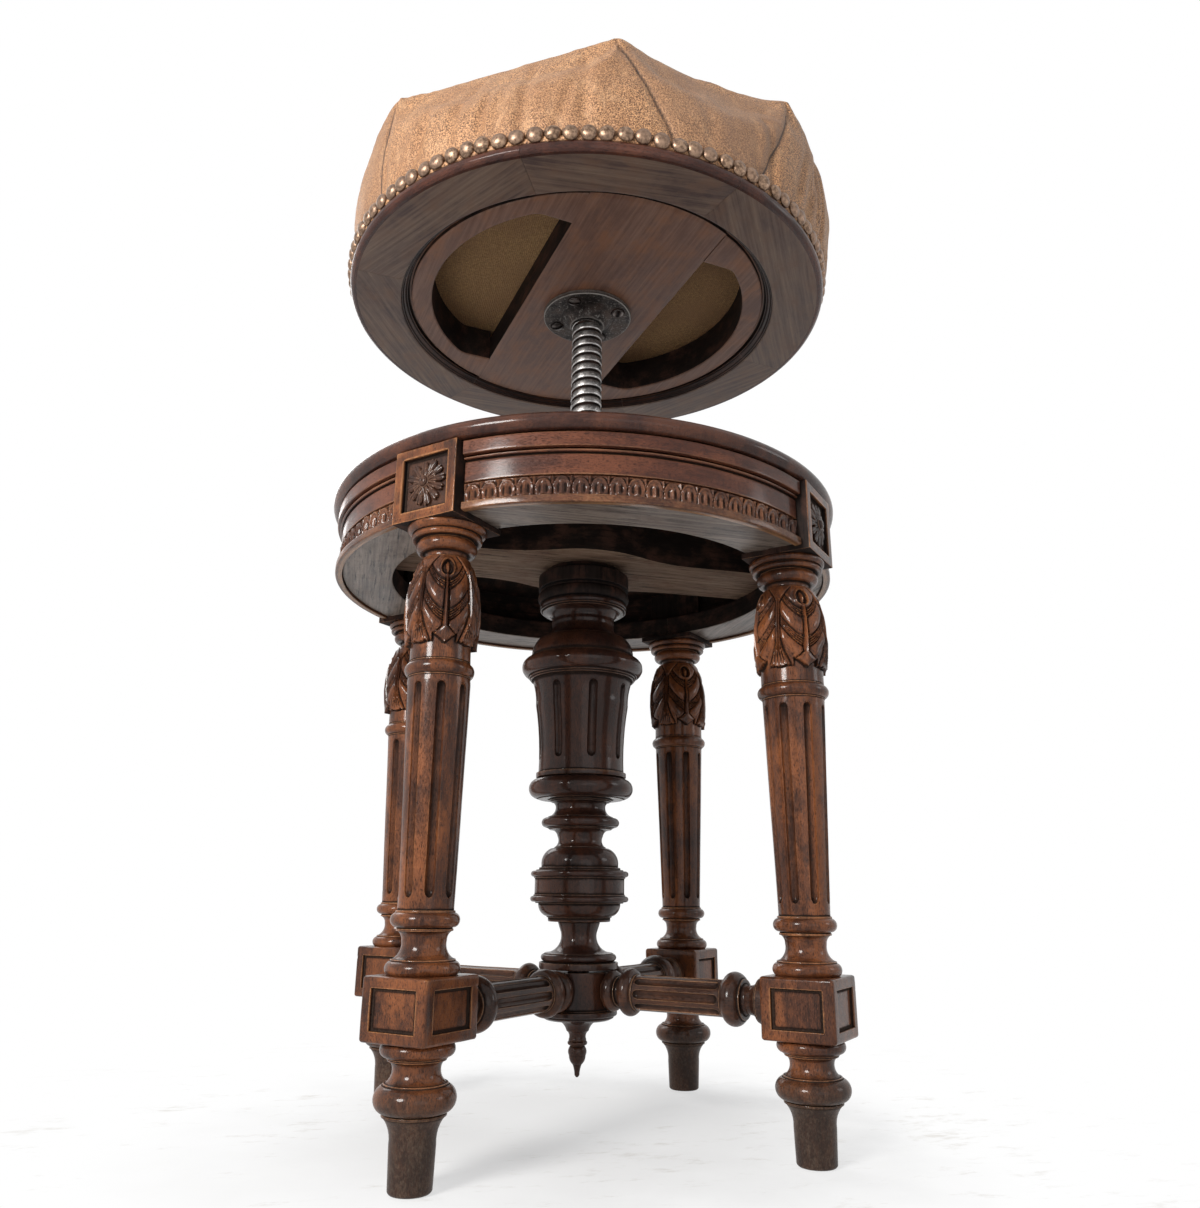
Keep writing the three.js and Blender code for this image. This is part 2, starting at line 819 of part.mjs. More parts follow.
// Cross bar: narrow at its ends, round about the column, bored for the screw and the nut
function makeCrossBar() {
  const reach = drumOutline.railInside - bar.endGap;
  const endAngle = Math.asin(bar.endHalfWidth / reach);
  const bellyAngle = Math.asin(bar.endHalfWidth / bar.bellyRadius);
  const shape = new THREE.Shape();
  shape.absarc(0, 0, reach, -endAngle, endAngle, false);
  shape.lineTo(bar.waistReach, bar.endHalfWidth);
  shape.absarc(0, 0, bar.bellyRadius, bellyAngle, Math.PI - bellyAngle, false);
  shape.lineTo(-bar.waistReach, bar.endHalfWidth);
  shape.absarc(0, 0, reach, Math.PI - endAngle, Math.PI + endAngle, false);
  shape.lineTo(-bar.waistReach, -bar.endHalfWidth);
  shape.absarc(0, 0, bar.bellyRadius, Math.PI + bellyAngle, 2 * Math.PI - bellyAngle, false);
  shape.lineTo(bar.waistReach, -bar.endHalfWidth);
  const plan = new THREE.ExtrudeGeometry(shape, {
    depth: railHeight,
    bevelEnabled: false,
    curveSegments: bar.curveParts,
  }).translate(0, 0, railBottom);
  const screwHole = bore(boreRadius, railBottom - OVERRUN, railTop + OVERRUN, COLUMN_SIDES);
  const pocket = bore(nut.radius + FIT_GAP, nutBottom - FIT_GAP, railTop + OVERRUN, COLUMN_SIDES);
  return cutAll(solidOf(plan), [solidOf(screwHole), solidOf(pocket)]);
}

// Centre column, on its tenon in the hub, fluted round its body and bored from above for the screw
function makeColumn() {
  const outline = new Outline(column.tenonRadius, columnBottom - column.tenonLength)
    .rise(column.tenonLength)
    .step(column.collarRadius)
    .rise(column.collarHeight)
    .step(column.torusRadius)
    .bead(column.torusHeight, column.torusSwell)
    .step(column.coveRadius)
    .round(column.coveTopRadius, column.coveHeight, -column.coveHollow)
    .line(column.stemRadius, column.stemHeight)
    .step(column.plateRadius)
    .rise(column.plateHeight)
    .step(column.bowlRadius)
    .round(column.bowlTopRadius, column.bowlHeight, column.bowlSwell)
    .step(column.beltRingRadius)
    .bead(column.beltRingHeight, column.beltRingSwell)
    .step(column.beltRadius)
    .rise(column.beltHeight)
    .step(column.beltRingRadius)
    .bead(column.beltRingHeight, column.beltRingSwell)
    .step(column.shoulderRadius)
    .rise(column.shoulderHeight)
    .step(column.ogeeRadius)
    .round(column.ogeeTopRadius, column.ogeeHeight, column.ogeeSwell)
    .round(column.waistRadius, column.waistHeight, -column.waistHollow)
    .round(column.flareRadius, column.flareHeight, -column.flareHollow)
    .step(column.midRingRadius)
    .bead(column.midRingHeight, column.midRingSwell)
    .step(column.midNeckFootRadius)
    .round(column.midNeckRadius, column.midNeckHeight, -column.midNeckHollow)
    .line(column.midNeckTopRadius, column.midNeckTopHeight)
    .step(column.cushionRadius)
    .bead(column.cushionHeight, column.cushionSwell)
    .step(column.bodyFilletRadius)
    .rise(column.bodyFilletHeight)
    .step(column.bodyRadius);
  const bodyBottom = outline.height;
  const headHeight =
    column.crownFilletHeight +
    column.crownHeight +
    column.domeHeight +
    column.headNeckHeight +
    column.headFlareHeight +
    column.headRingHeight +
    column.headDrumHeight +
    column.capHeight;
  const bodyHeight = columnTop - headHeight - bodyBottom;
  outline
    .round(column.bodyTopRadius, bodyHeight, -column.bodyHollow)
    .step(column.crownFilletRadius)
    .rise(column.crownFilletHeight)
    .step(column.crownRadius)
    .bead(column.crownHeight, column.crownSwell)
    .round(column.domeTopRadius, column.domeHeight, column.domeSwell)
    .round(column.headNeckRadius, column.headNeckHeight, -column.headNeckHollow)
    .round(column.headFlareRadius, column.headFlareHeight, -column.headFlareHollow)
    .step(column.headRingRadius)
    .bead(column.headRingHeight, column.headRingSwell)
    .step(column.headDrumRadius)
    .rise(column.headDrumHeight)
    .step(column.capRadius)
    .rise(column.capHeight);
  const turning = solidOf(turned(closedToAxis(outline), COLUMN_SIDES));
  const flutes = fluteCutters(
    columnFlute,
    column.bodyRadius - column.bodyHollow / 2,
    column.bodyTopRadius - column.bodyHollow,
    bodyBottom,
    bodyBottom + bodyHeight,
  );
  const screwHole = bore(boreRadius, boreBottom, columnTop + OVERRUN, COLUMN_SIDES);
  return cutAll(turning, [solidOf(screwHole), ...flutes]);
}

// Hub with a socket for each stretcher, one above for the column and one below for the finial
function makeHub() {
  const outline = new Outline(hub.plateRadius, hubBottom)
    .rise(hub.plateHeight)
    .step(hub.lowCollarRadius)
    .rise(hub.lowCollarHeight)
    .step(hub.drumRadius)
    .rise(hub.drumHeight);
  const drum = solidOf(turned(closedToAxis(outline), COLUMN_SIDES));
  const sockets = copiesAround(
    LEG_COUNT,
    () =>
      bore(stretcher.tenonRadius + FIT_GAP, hub.drumRadius - hub.socketDepth, hub.drumRadius + OVERRUN)
        .rotateY(QUARTER)
        .translate(0, 0, stretcherHeight),
    Math.PI / LEG_COUNT,
  );
  const above = bore(column.tenonRadius + FIT_GAP, hubTop - column.tenonLength, hubTop + OVERRUN);
  const below = bore(finial.tenonRadius + FIT_GAP, hubBottom - OVERRUN, hubBottom + finial.tenonLength);
  return cutAll(drum, [...sockets, solidOf(above), solidOf(below)]);
}

// Drop finial, drawn from its tenon down and then turned over
function makeFinial() {
  const outline = new Outline(finial.tenonRadius, -finial.tenonLength)
    .rise(finial.tenonLength)
    .step(finial.topRadius)
    .round(finial.coveBottomRadius, finial.coveHeight, -finial.coveHollow)
    .rise(finial.stemHeight)
    .step(finial.ringRadius)
    .bead(finial.ringHeight, finial.ringSwell)
    .step(finial.neckRadius)
    .rise(finial.neckHeight)
    .round(finial.dropBottomRadius, finial.dropHeight, finial.dropSwell)
    .line(finial.tipRadius, finial.tipHeight);
  return solidOf(
    turned(closedToAxis(outline), LEG_SIDES)
      .rotateX(2 * QUARTER)
      .translate(0, 0, hubBottom - FIT_GAP),
  );
}

// Stretcher along its own axis, from its tenon in the hub to its tenon in the block of the leg
function makeStretcher() {
  const start = hub.drumRadius + FIT_GAP;
  const finish = LEG_CIRCLE_RADIUS - block.halfWidth - FIT_GAP;
  const outline = new Outline(stretcher.tenonRadius, start - stretcher.tenonLength)
    .rise(stretcher.tenonLength)
    .step(stretcher.ballRadius)
    .bead(stretcher.ballLength, stretcher.ballSwell)
    .step(stretcher.hubNeckRadius)
    .bead(stretcher.hubNeckLength, -stretcher.hubNeckHollow)
    .step(stretcher.hubTorusRadius)
    .bead(stretcher.hubTorusLength, stretcher.hubTorusSwell)
    .step(stretcher.shaftRadius);
  const shaftStart = outline.height;
  const legEndLength =
    stretcher.legTorusLength + stretcher.legNeckLength + stretcher.flareLength + stretcher.endLength;
  const shaftFinish = finish - legEndLength;
  outline
    .rise(shaftFinish - shaftStart)
    .step(stretcher.legTorusRadius)
    .bead(stretcher.legTorusLength, stretcher.legTorusSwell)
    .step(stretcher.legNeckRadius)
    .rise(stretcher.legNeckLength)
    .round(stretcher.flareRadius, stretcher.flareLength, -stretcher.flareHollow)
    .rise(stretcher.endLength)
    .step(stretcher.tenonRadius)
    .rise(stretcher.tenonLength);
  const turning = solidOf(turned(closedToAxis(outline), STRETCHER_SIDES));
  const { shaftRadius } = stretcher;
  const flutes = fluteCutters(stretcherFlute, shaftRadius, shaftRadius, shaftStart, shaftFinish);
  return cutAll(turning, flutes);
}

// A thread as one closed skin. Each column of points is the one before, turned and raised, so that
// after a full turn it meets itself one pitch higher; each end is closed to the axis.
function threadGeometry(crestRadius, rootRadius, bottom, turns) {
  const section = [
    { radius: crestRadius, rise: 0 },
    { radius: crestRadius, rise: CREST_WIDTH },
    { radius: rootRadius, rise: (PITCH + CREST_WIDTH) / 2 },
  ];
  const turnRows = section.length;
  const rows = turnRows * turns;
  const places = [];
  for (let side = 0; side < THREAD_SIDES; side++) {
    const angle = (2 * Math.PI * side) / THREAD_SIDES;
    const lift = (PITCH * side) / THREAD_SIDES;
    for (let row = 0; row <= rows; row++) {
      const { radius, rise } = section[row % turnRows];
      const height = bottom + PITCH * Math.floor(row / turnRows) + rise + lift;
      places.push(radius * Math.cos(angle), radius * Math.sin(angle), height);
    }
  }
  const at = (side, row) => side * (rows + 1) + row;
  const faces = [];
  const face = (a, b, c, d) => faces.push(a, b, c, a, c, d);
  for (let side = 0; side < THREAD_SIDES - 1; side++) {
    for (let row = 0; row < rows; row++) {
      face(at(side, row), at(side + 1, row), at(side + 1, row + 1), at(side, row + 1));
    }
  }
  const last = THREAD_SIDES - 1;
  for (let row = 0; row < rows - turnRows; row++) {
    face(at(last, row), at(0, row + turnRows), at(0, row + turnRows + 1), at(last, row + 1));
  }
  const aroundFoot = [];
  const aroundHead = [];
  for (let side = 0; side < THREAD_SIDES; side++) {
    aroundFoot.push(at(side, 0));
    aroundHead.push(at(side, rows));
  }
  for (let row = 0; row < turnRows; row++) {
    aroundFoot.push(at(0, turnRows - row));
    aroundHead.push(at(last, rows - 1 - row));
  }
  const footCentre = places.length / 3;
  const headCentre = footCentre + 1;
  places.push(0, 0, bottom);
  places.push(0, 0, bottom + PITCH * (turns + 1));
  aroundFoot.forEach((corner, i) => {
    faces.push(footCentre, aroundFoot[(i + 1) % aroundFoot.length], corner);
  });
  aroundHead.forEach((corner, i) => {
    faces.push(headCentre, corner, aroundHead[(i + 1) % aroundHead.length]);
  });
  const geometry = new THREE.BufferGeometry();
  geometry.setAttribute("position", new THREE.Float32BufferAttribute(places, 3));
  geometry.setIndex(faces);
  return geometry;
}

// The thread is drawn two turns longer than the screw at each end, and then cut to length
const SPARE_TURNS = 2;
const threadStart = threadBottom - SPARE_TURNS * PITCH;

// Lead screw: shank in the boss above, the thread, and the journal for the stop washer below
function makeScrew() {
  const turns = Math.ceil((threadTop - threadStart) / PITCH) + SPARE_TURNS;
  const long = threadGeometry(THREAD_RADIUS, THREAD_RADIUS - THREAD_DEPTH, threadStart, turns);
  const envelope = new Outline(THREAD_RADIUS - THREAD_CHAMFER, threadBottom)
    .line(THREAD_RADIUS + THREAD_CHAMFER, 2 * THREAD_CHAMFER)
    .rise(threadTop - threadBottom - 2 * THREAD_CHAMFER);
  const thread = solidOf(long).intersect(solidOf(turned(closedToAxis(envelope), THREAD_SIDES)));
  const shank = cylinder(SHANK_RADIUS, threadTop - OVERRUN, flangeTop, THREAD_SIDES);
  const journal = cylinder(JOURNAL_RADIUS, journalBottom, threadBottom + OVERRUN, THREAD_SIDES);
  return joinAll([thread, solidOf(shank), solidOf(journal)]);
}

// Nut with the thread of the screw cut in it, grown by the running clearance
function makeNut() {
  const flangeFloor = frameTop - nut.flangeThickness;
  const outline = new Outline(nut.radius, nutBottom)
    .rise(flangeFloor - nutBottom)
    .step(nut.flangeRadius)
    .rise(nut.flangeThickness);
  const body = solidOf(turned(closedToAxis(outline), COLUMN_SIDES));
  const turns = Math.ceil((frameTop - nutBottom) / PITCH) + 2 * SPARE_TURNS;
  const skipped = Math.floor((nutBottom - threadStart) / PITCH) - SPARE_TURNS;
  const hole = threadGeometry(
    THREAD_RADIUS + THREAD_CLEARANCE,
    THREAD_RADIUS - THREAD_DEPTH + THREAD_CLEARANCE,
    threadStart + skipped * PITCH,
    turns,
  );
  const screws = copiesAround(nutScrew.count, () =>
    turned(closedToAxis(nutScrewOutline(FIT_GAP, OVERRUN)), SMALL_SIDES).translate(nut.screwCircle, 0, 0),
  );
  return cutAll(body, [solidOf(hole), ...screws]);
}

// A countersunk screw, flush with the flange of the nut; grown by a gap it is its own hole
function nutScrewOutline(gap, overrun) {
  return new Outline(nutScrew.shankRadius + gap, frameTop - nutScrew.length)
    .rise(nutScrew.length - nutScrew.headHeight - FIT_GAP)
    .line(nutScrew.headRadius + gap, nutScrew.headHeight)
    .rise(overrun);
}

function makeNutScrew() {
  return solidOf(turned(closedToAxis(nutScrewOutline(0, 0)), SMALL_SIDES));
}

// Flange with its conical boss, bored for the shank of the screw and drilled for its four screws
function makeFlange() {
  const outline = new Outline(flange.bossTipRadius, bossBottom)
    .line(flange.bossRadius, flange.bossHeight)
    .step(flange.radius)
    .rise(flange.thickness);
  const plate = solidOf(turned(closedToAxis(outline), FLANGE_SIDES));
  const shankHole = bore(SHANK_RADIUS + FIT_GAP, bossBottom - OVERRUN, flangeTop + OVERRUN, THREAD_SIDES);
  const screwHoles = flangeScrewHoles(flangeBottom - OVERRUN, flangeTop + OVERRUN);
  return cutAll(plate, [solidOf(shankHole), ...screwHoles]);
}

function flangeScrewHoles(bottom, top) {
  return copiesAround(
    flangeScrew.count,
    () => bore(flangeScrew.shankRadius + FIT_GAP, bottom, top).translate(flange.screwCircle, 0, 0),
    Math.PI / flangeScrew.count,
  );
}

// Round-headed wood screw with a slot, its head under the flange
function makeFlangeScrew() {
  const headTop = flangeBottom - FIT_GAP;
  const headBottom = headTop - flangeScrew.headHeight;
  const outline = new Outline(flangeScrew.headRadius - flangeScrew.headSwell, headBottom)
    .line(flangeScrew.headRadius, flangeScrew.headSwell)
    .rise(flangeScrew.headHeight - flangeScrew.headSwell)
    .step(flangeScrew.shankRadius)
    .rise(flangeScrew.length);
  const half = flangeScrew.slotWidth / 2;
  const reach = 2 * flangeScrew.headRadius;
  const slotTop = headBottom + flangeScrew.slotDepth;
  const slot = boxBetween(-reach, reach, -half, half, headBottom - OVERRUN, slotTop);
  return solidOf(turned(closedToAxis(outline), SMALL_SIDES)).subtract(solidOf(slot));
}

// A round piece on the journal at the foot of the screw
function makeJournalRing(radius, bottom, top, sideCount) {
  const ring = solidOf(cylinder(radius, bottom, top, sideCount));
  const hole = bore(JOURNAL_RADIUS + FIT_GAP, bottom - OVERRUN, top + OVERRUN, THREAD_SIDES);
  return ring.subtract(solidOf(hole));
}

// One D-shaped opening beside the plank, on the side of +Y. Its straight side runs inside the slot
// of the plank, and small arcs lead from the plank into the wide one.
function openingShape() {
  const { openingCorner } = seat;
  const edge = plank.halfWidth;
  const centre = Math.sqrt((openingRadius - openingCorner) ** 2 - edge ** 2);
  const turn = Math.atan2(edge, centre);
  const shape = new THREE.Shape();
  shape.moveTo(-centre - openingCorner, edge - OVERRUN);
  shape.lineTo(centre + openingCorner, edge - OVERRUN);
  const addArc = (x, y, radius, from, to, parts) => {
    for (let part = 0; part < parts; part++) {
      const angle = THREE.MathUtils.lerp(from, to, part / parts);
      shape.lineTo(x + radius * Math.cos(angle), y + radius * Math.sin(angle));
    }
  };
  addArc(centre, edge, openingCorner, 0, turn, seat.cornerParts);
  addArc(0, 0, openingRadius, turn, Math.PI - turn, seat.openingParts);
  addArc(-centre, edge, openingCorner, Math.PI - turn, Math.PI, seat.cornerParts);
  shape.lineTo(-centre - openingCorner, edge);
  return shape;
}

// The plank: a wide lower part, and longer tongues above it that are let into the ring
function plankSolid() {
  const lapBottom = seatBoardBottom + plank.lapHeight;
  return plankForm(0, seatBoardBottom, lapBottom, seatBoardBottom + plank.thickness);
}

// The slot that takes the plank, open below and above
function plankSlot() {
  const lapBottom = seatBoardBottom + plank.lapHeight - FIT_GAP;
  return plankForm(FIT_GAP, seatBoardBottom - OVERRUN, lapBottom, seatTop + OVERRUN);
}

function plankForm(gap, bottom, lapBottom, top) {
  const half = plank.halfWidth + gap;
  const reach = seat.radius;
  const strip = boxBetween(-reach, reach, -half, half, bottom, top);
  const shortReach = recessStepRadius + gap - FIT_GAP;
  const lower = cylinder(shortReach, bottom, top, RIM_SIDES);
  const upper = cylinder(shortReach + plank.lapReach, lapBottom, top, RIM_SIDES);
  return solidOf(strip).intersect(solidOf(lower).add(solidOf(upper)));
}

// Seat ring with its sunk board, its two openings and the slot for the plank
function makeSeatRing() {
  const outline = new Outline(recessStepRadius, seatBoardBottom)
    .round(recessRadius, -seat.recessDepth, seat.recessSwell)
    .step(seat.radius - seat.lipSwell)
    .bead(seat.lipHeight, seat.lipSwell)
    .step(seat.radius - seat.rabbet)
    .rise(seatTop - lipTop);
  const disc = solidOf(turned(closedToAxis(outline), RIM_SIDES));
  const openings = [0, Math.PI].map((turn) => {
    const opening = new THREE.ExtrudeGeometry(openingShape(), {
      depth: seatTop - seatBoardBottom + 2 * OVERRUN,
      bevelEnabled: false,
    });
    return solidOf(opening.translate(0, 0, seatBoardBottom - OVERRUN).rotateZ(turn));
  });
  return cutAll(disc, [...openings, plankSlot()]);
}

function makePlank() {
  const holeTop = flangeBottom + flangeScrew.length + FIT_GAP;
  return cutAll(plankSolid(), flangeScrewHoles(seatBoardBottom - OVERRUN, holeTop));
}

function makeCanvas() {
  return solidOf(cylinder(canvasRadius, canvasBottom, canvasBottom + canvas.thickness, RIM_SIDES));
}

// Leather cover with its stuffing, from the nailed hem to the crown: from panel to panel the columns
// of points lean with the seams
function makeCoverForm() {
  const around = cushion.panels * cushion.columnsPerPanel;
  const bottom = lipTop + FIT_GAP;
  const top = seatTop + cushion.height;
  const hem = coverInside + cushion.hemThickness;
  const slice = (2 * Math.PI) / cushion.panels;
  const start = THREE.MathUtils.degToRad(cushion.cornerDegrees);
  const wideFoot = THREE.MathUtils.degToRad(cushion.wideFootHalfDegrees);

  // Where a column stands at a share of the height: at the foot wide and narrow panels alternate
  const columnAt = (index, share) => {
    const panel = Math.floor(index / cushion.columnsPerPanel);
    const across = (2 * (index % cushion.columnsPerPanel)) / cushion.columnsPerPanel - 1;
    const wide = panel % 2 === 0;
    const middle = start + slice * (panel + 1 / 2);
    const footHalf = wide ? wideFoot : slice - wideFoot;
    const half = THREE.MathUtils.lerp(footHalf, slice / 2, share);
    const straightShare = Math.cos(slice / 2) / Math.cos((slice / 2) * across);
    const roundShare = wide ? WIDE_EDGE_ROUND_SHARE : NARROW_EDGE_ROUND_SHARE;
    const edgeRadius = cornerRadius * THREE.MathUtils.lerp(straightShare, 1, roundShare);
    return { angle: middle + half * across, edgeRadius, onSeam: across === -1 };
  };

  const places = [];
  const addRing = (share, height, radiusOf) => {
    for (let i = 0; i < around; i++) {
      const spot = columnAt(i, share);
      const radius = radiusOf(spot);
      places.push(radius * Math.cos(spot.angle), radius * Math.sin(spot.angle), height);
    }
  };
  addRing(0, bottom, () => hem);
  for (let part = 1; part <= cushion.sideParts; part++) {
    const share = part / cushion.sideParts;
    const swell = cushion.swell * Math.sin(Math.PI * Math.sqrt(share));
    const seam = cushion.seamDepth * Math.sin(Math.PI * share ** 2);
    addRing(share, THREE.MathUtils.lerp(bottom, top, share), ({ edgeRadius, onSeam }) => {
      return THREE.MathUtils.lerp(hem, edgeRadius, share ** 2) + swell - (onSeam ? seam : 0);
    });
  }
  for (let part = 0; part < cushion.crownParts; part++) {
    const share = (part + CROWN_RIM_SHARE) / cushion.crownParts;
    const rise = cushion.crownRise * (1 - (1 - share) ** 2);
    addRing(1, top + rise, ({ edgeRadius }) => (edgeRadius - cushion.edgeRound) * (1 - share));
  }
  const ringCount = places.length / 3 / around;
  return solidOf(stackedRings(places, around, ringCount));
}

// Cushion: all of the cover that lies above the canvas
function makeCushion(coverForm) {
  return coverForm.trimByPlane(UPWARDS, cushionFloor);
}

// Border: the skin of leather that is drawn down over the edge of the seat frame and nailed there
function makeLeatherBorder(coverForm) {
  const borderTop = cushionFloor - FIT_GAP;
  const hollow = bore(coverInside, lipTop - OVERRUN, borderTop + OVERRUN, RIM_SIDES);
  return coverForm.trimByPlane(DOWNWARDS, -borderTop).subtract(solidOf(hollow));
}

function mesh(name, solid, material) {
  const made = new THREE.Mesh(geometryOf(solid), material);
  made.name = name;
  return made;
}

// Copies of one piece, a quarter turn apart, each moved out along its own arm and raised
function fourAround(names, geometry, material, { firstTurn = 0, distance = 0, height = 0 }) {
  return names.map((name, i) => {
    const arm = new THREE.Group();
    arm.rotation.z = firstTurn + QUARTER * i;
    const copy = new THREE.Mesh(geometry, material);
    copy.name = name;
    copy.position.set(distance, 0, height);
    arm.add(copy);
    return arm;
  });
}

const corners = ["back_right", "back_left", "front_left", "front_right"];
const sides = ["right", "back", "left", "front"];
const named = (stem, places) => places.map((place) => stem + "_" + place);
const onCorners = { firstTurn: Math.PI / LEG_COUNT };

// Everything that stands still
const stand = new THREE.Group();
stand.add(
  ...fourAround(named("leg", corners), geometryOf(makeLeg()), mahogany, {
    ...onCorners,
    distance: LEG_CIRCLE_RADIUS,
  }),
  ...fourAround(named("rosette", corners), geometryOf(makeRosette()).rotateY(QUARTER), wornMahogany, {
    ...onCorners,
    distance: LEG_CIRCLE_RADIUS + POST_REACH - post.panelDepth + FIT_GAP,
    height: (plateBottom + railTop) / 2,
  }),
  ...fourAround(named("stretcher", corners), geometryOf(makeStretcher()).rotateY(QUARTER), mahogany, {
    ...onCorners,
    height: stretcherHeight,
  }),
  ...fourAround(named("apron_rail", sides), geometryOf(makeRail()), mahogany, {}),
  ...fourAround(named("leaf_band", sides), geometryOf(makeLeafBand()), mahogany, {}),
  mesh("ring_board", makeRingBoard(), rawWood),
  mesh("top_board", makeTopBoard(), mahogany),
  mesh("cross_bar", makeCrossBar(), rawWood),
  mesh("column", makeColumn(), mahogany),
  mesh("hub", makeHub(), mahogany),
  mesh("finial", makeFinial(), mahogany),
  mesh("screw_nut", makeNut(), darkIron),
  ...fourAround(named("nut_screw", sides), geometryOf(makeNutScrew()), darkIron, {
    distance: nut.screwCircle,
  }),
);

// The stop washer rises and sinks with the screw, but does not turn
const stop = new THREE.Group();
const stopWasher = makeJournalRing(washer.radius, washerBottom, washerTop, COLUMN_SIDES);
stop.add(mesh("stop_washer", stopWasher, brightIron));

// The seat frame is turned about the screw, with the plank and the flange
const seatFrame = new THREE.Group();
seatFrame.rotation.z = THREE.MathUtils.degToRad(plank.turnDegrees);
seatFrame.add(
  mesh("seat_ring", makeSeatRing(), rawWood),
  mesh("seat_plank", makePlank(), rawWood),
  mesh("screw_flange", makeFlange(), darkIron),
  ...fourAround(named("flange_screw", sides), geometryOf(makeFlangeScrew()), darkIron, {
    firstTurn: Math.PI / flangeScrew.count,
    distance: flange.screwCircle,
  }),
);
const coverForm = makeCoverForm();
const turningSeat = new THREE.Group();
turningSeat.add(
  seatFrame,
  mesh("lead_screw", makeScrew(), brightIron),
  mesh("end_nut", makeJournalRing(endNut.radius, endNutBottom, endNutTop, endNut.sides), darkIron),
  mesh("seat_canvas", makeCanvas(), burlap),
  mesh("leather_border", makeLeatherBorder(coverForm), leather),
  mesh("seat_cushion", makeCushion(coverForm), leather),
);

const group = new THREE.Group();
group.add(stand, stop, turningSeat);

export default group;
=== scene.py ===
# A revolving piano stool: turned and carved mahogany legs, a round moulded frame, an iron lead screw and a
# round seat in tan leather. Lengths in the sections are millimetres, and +Z is up.
import math

import bmesh
import bpy
import numpy as np
from mathutils import Matrix, Vector


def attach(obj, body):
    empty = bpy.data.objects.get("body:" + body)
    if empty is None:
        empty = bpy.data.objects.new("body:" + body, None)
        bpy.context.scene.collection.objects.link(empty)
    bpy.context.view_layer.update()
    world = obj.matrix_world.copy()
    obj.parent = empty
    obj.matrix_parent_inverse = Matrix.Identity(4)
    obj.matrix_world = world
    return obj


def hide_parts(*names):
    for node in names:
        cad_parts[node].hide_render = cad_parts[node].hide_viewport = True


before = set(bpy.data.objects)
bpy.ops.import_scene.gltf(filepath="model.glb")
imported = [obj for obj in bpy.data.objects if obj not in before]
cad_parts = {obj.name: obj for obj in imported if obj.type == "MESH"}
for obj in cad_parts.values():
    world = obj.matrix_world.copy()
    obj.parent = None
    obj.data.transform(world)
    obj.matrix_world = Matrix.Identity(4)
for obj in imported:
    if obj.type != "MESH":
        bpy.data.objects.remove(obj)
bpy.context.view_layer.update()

# ------------------------------------------------------------
# Legs. Each is one length of mahogany, turned, polished dark and worn at its edges: foot, square block with
# sunk panels, tapered shaft with eight flutes, carved capital, and the square post that stands in the apron.
# They carry everything else and stand on the diagonals; turned by hand, no two are quite alike.
MM = 0.001
QUARTER = math.pi / 2
LEG_CIRCLE = 156
FRAME_TOP = 396.2  # of the posts, the apron and the cross bar
CORNERS = {"back_right": 45, "back_left": 135, "front_left": 225, "front_right": 315}  # degrees from +X


class Outline:
    """The outline of a turned piece, walked from below upwards: radius and height."""

    def __init__(self, radius, height=0.0):
        self.points = [(radius, height)]

    @property
    def height(self):
        return self.points[-1][1]

    def line(self, radius, rise):
        self.points.append((radius, self.height + rise))
        return self

    def step(self, radius):
        return self.line(radius, 0)

    def rise(self, height):
        return self.line(self.points[-1][0], height)

    def round(self, radius, rise, swell):
        """A round stretch to another radius; a hollow one where the swell is negative."""
        start = np.array(self.points[-1], float)
        half = (np.array([radius, start[1] + rise]) - start) / 2
        reach = np.hypot(*half)
        along = half / reach
        outward = np.array([along[1], -along[0]])
        half_angle = 2 * math.atan(swell / reach)
        arc = reach / math.sin(half_angle)
        parts = max(6, math.ceil(abs(2 * half_angle) / 0.2))
        for part in range(1, parts + 1):
            angle = half_angle * (2 * part / parts - 1)
            lift = arc * (math.cos(angle) - math.cos(half_angle))
            place = start + half + along * arc * math.sin(angle) + outward * lift
            self.points.append(tuple(place))
        return self

    def bead(self, height, swell):
        return self.round(self.points[-1][0], height, swell)

    def softened(self, edge=0.45):
        """The points, with each sharp corner eased as sandpaper and hands ease it."""
        points = [np.array(p, float) for p in self.points]
        points = points[:1] + [b for a, b in zip(points, points[1:]) if np.hypot(*(b - a)) > 0.001]
        kept = [points[0]]
        for before, here, after in zip(points, points[1:], points[2:]):
            back, forth = before - here, after - here
            back_length, forth_length = np.hypot(*back), np.hypot(*forth)
            turn = -back @ forth / (back_length * forth_length)
            if turn > 0.94:
                kept.append(here)
                continue
            near = here + back / back_length * min(edge, 0.4 * back_length)
            far = here + forth / forth_length * min(edge, 0.4 * forth_length)
            for share in (0, 0.25, 0.5, 0.75, 1):
                a, b = near + (here - near) * share, here + (far - here) * share
                kept.append(a + (b - a) * share)
        kept.append(points[-1])
        filled = [kept[0]]
        for here, after in zip(kept, kept[1:]):
            gap = np.hypot(*(after - here))
            shares = (0.8 / gap, 2.2 / gap, 0.5, 1 - 2.2 / gap, 1 - 0.8 / gap) if gap > 5 else ()
            filled += [here + (after - here) * share for share in shares] + [after]
        return np.array(filled)


def with_heights(points, heights):
    """The outline with extra points at the given heights, for flutes and carving."""
    made = [points[0]]
    for here, after in zip(points, points[1:]):
        between = [h for h in heights if here[1] + 0.02 < h < after[1] - 0.02]
        for height in between:
            share = (height - here[1]) / (after[1] - here[1])
            made.append(here + (after - here) * share)
        made.append(after)
    return np.array(made)


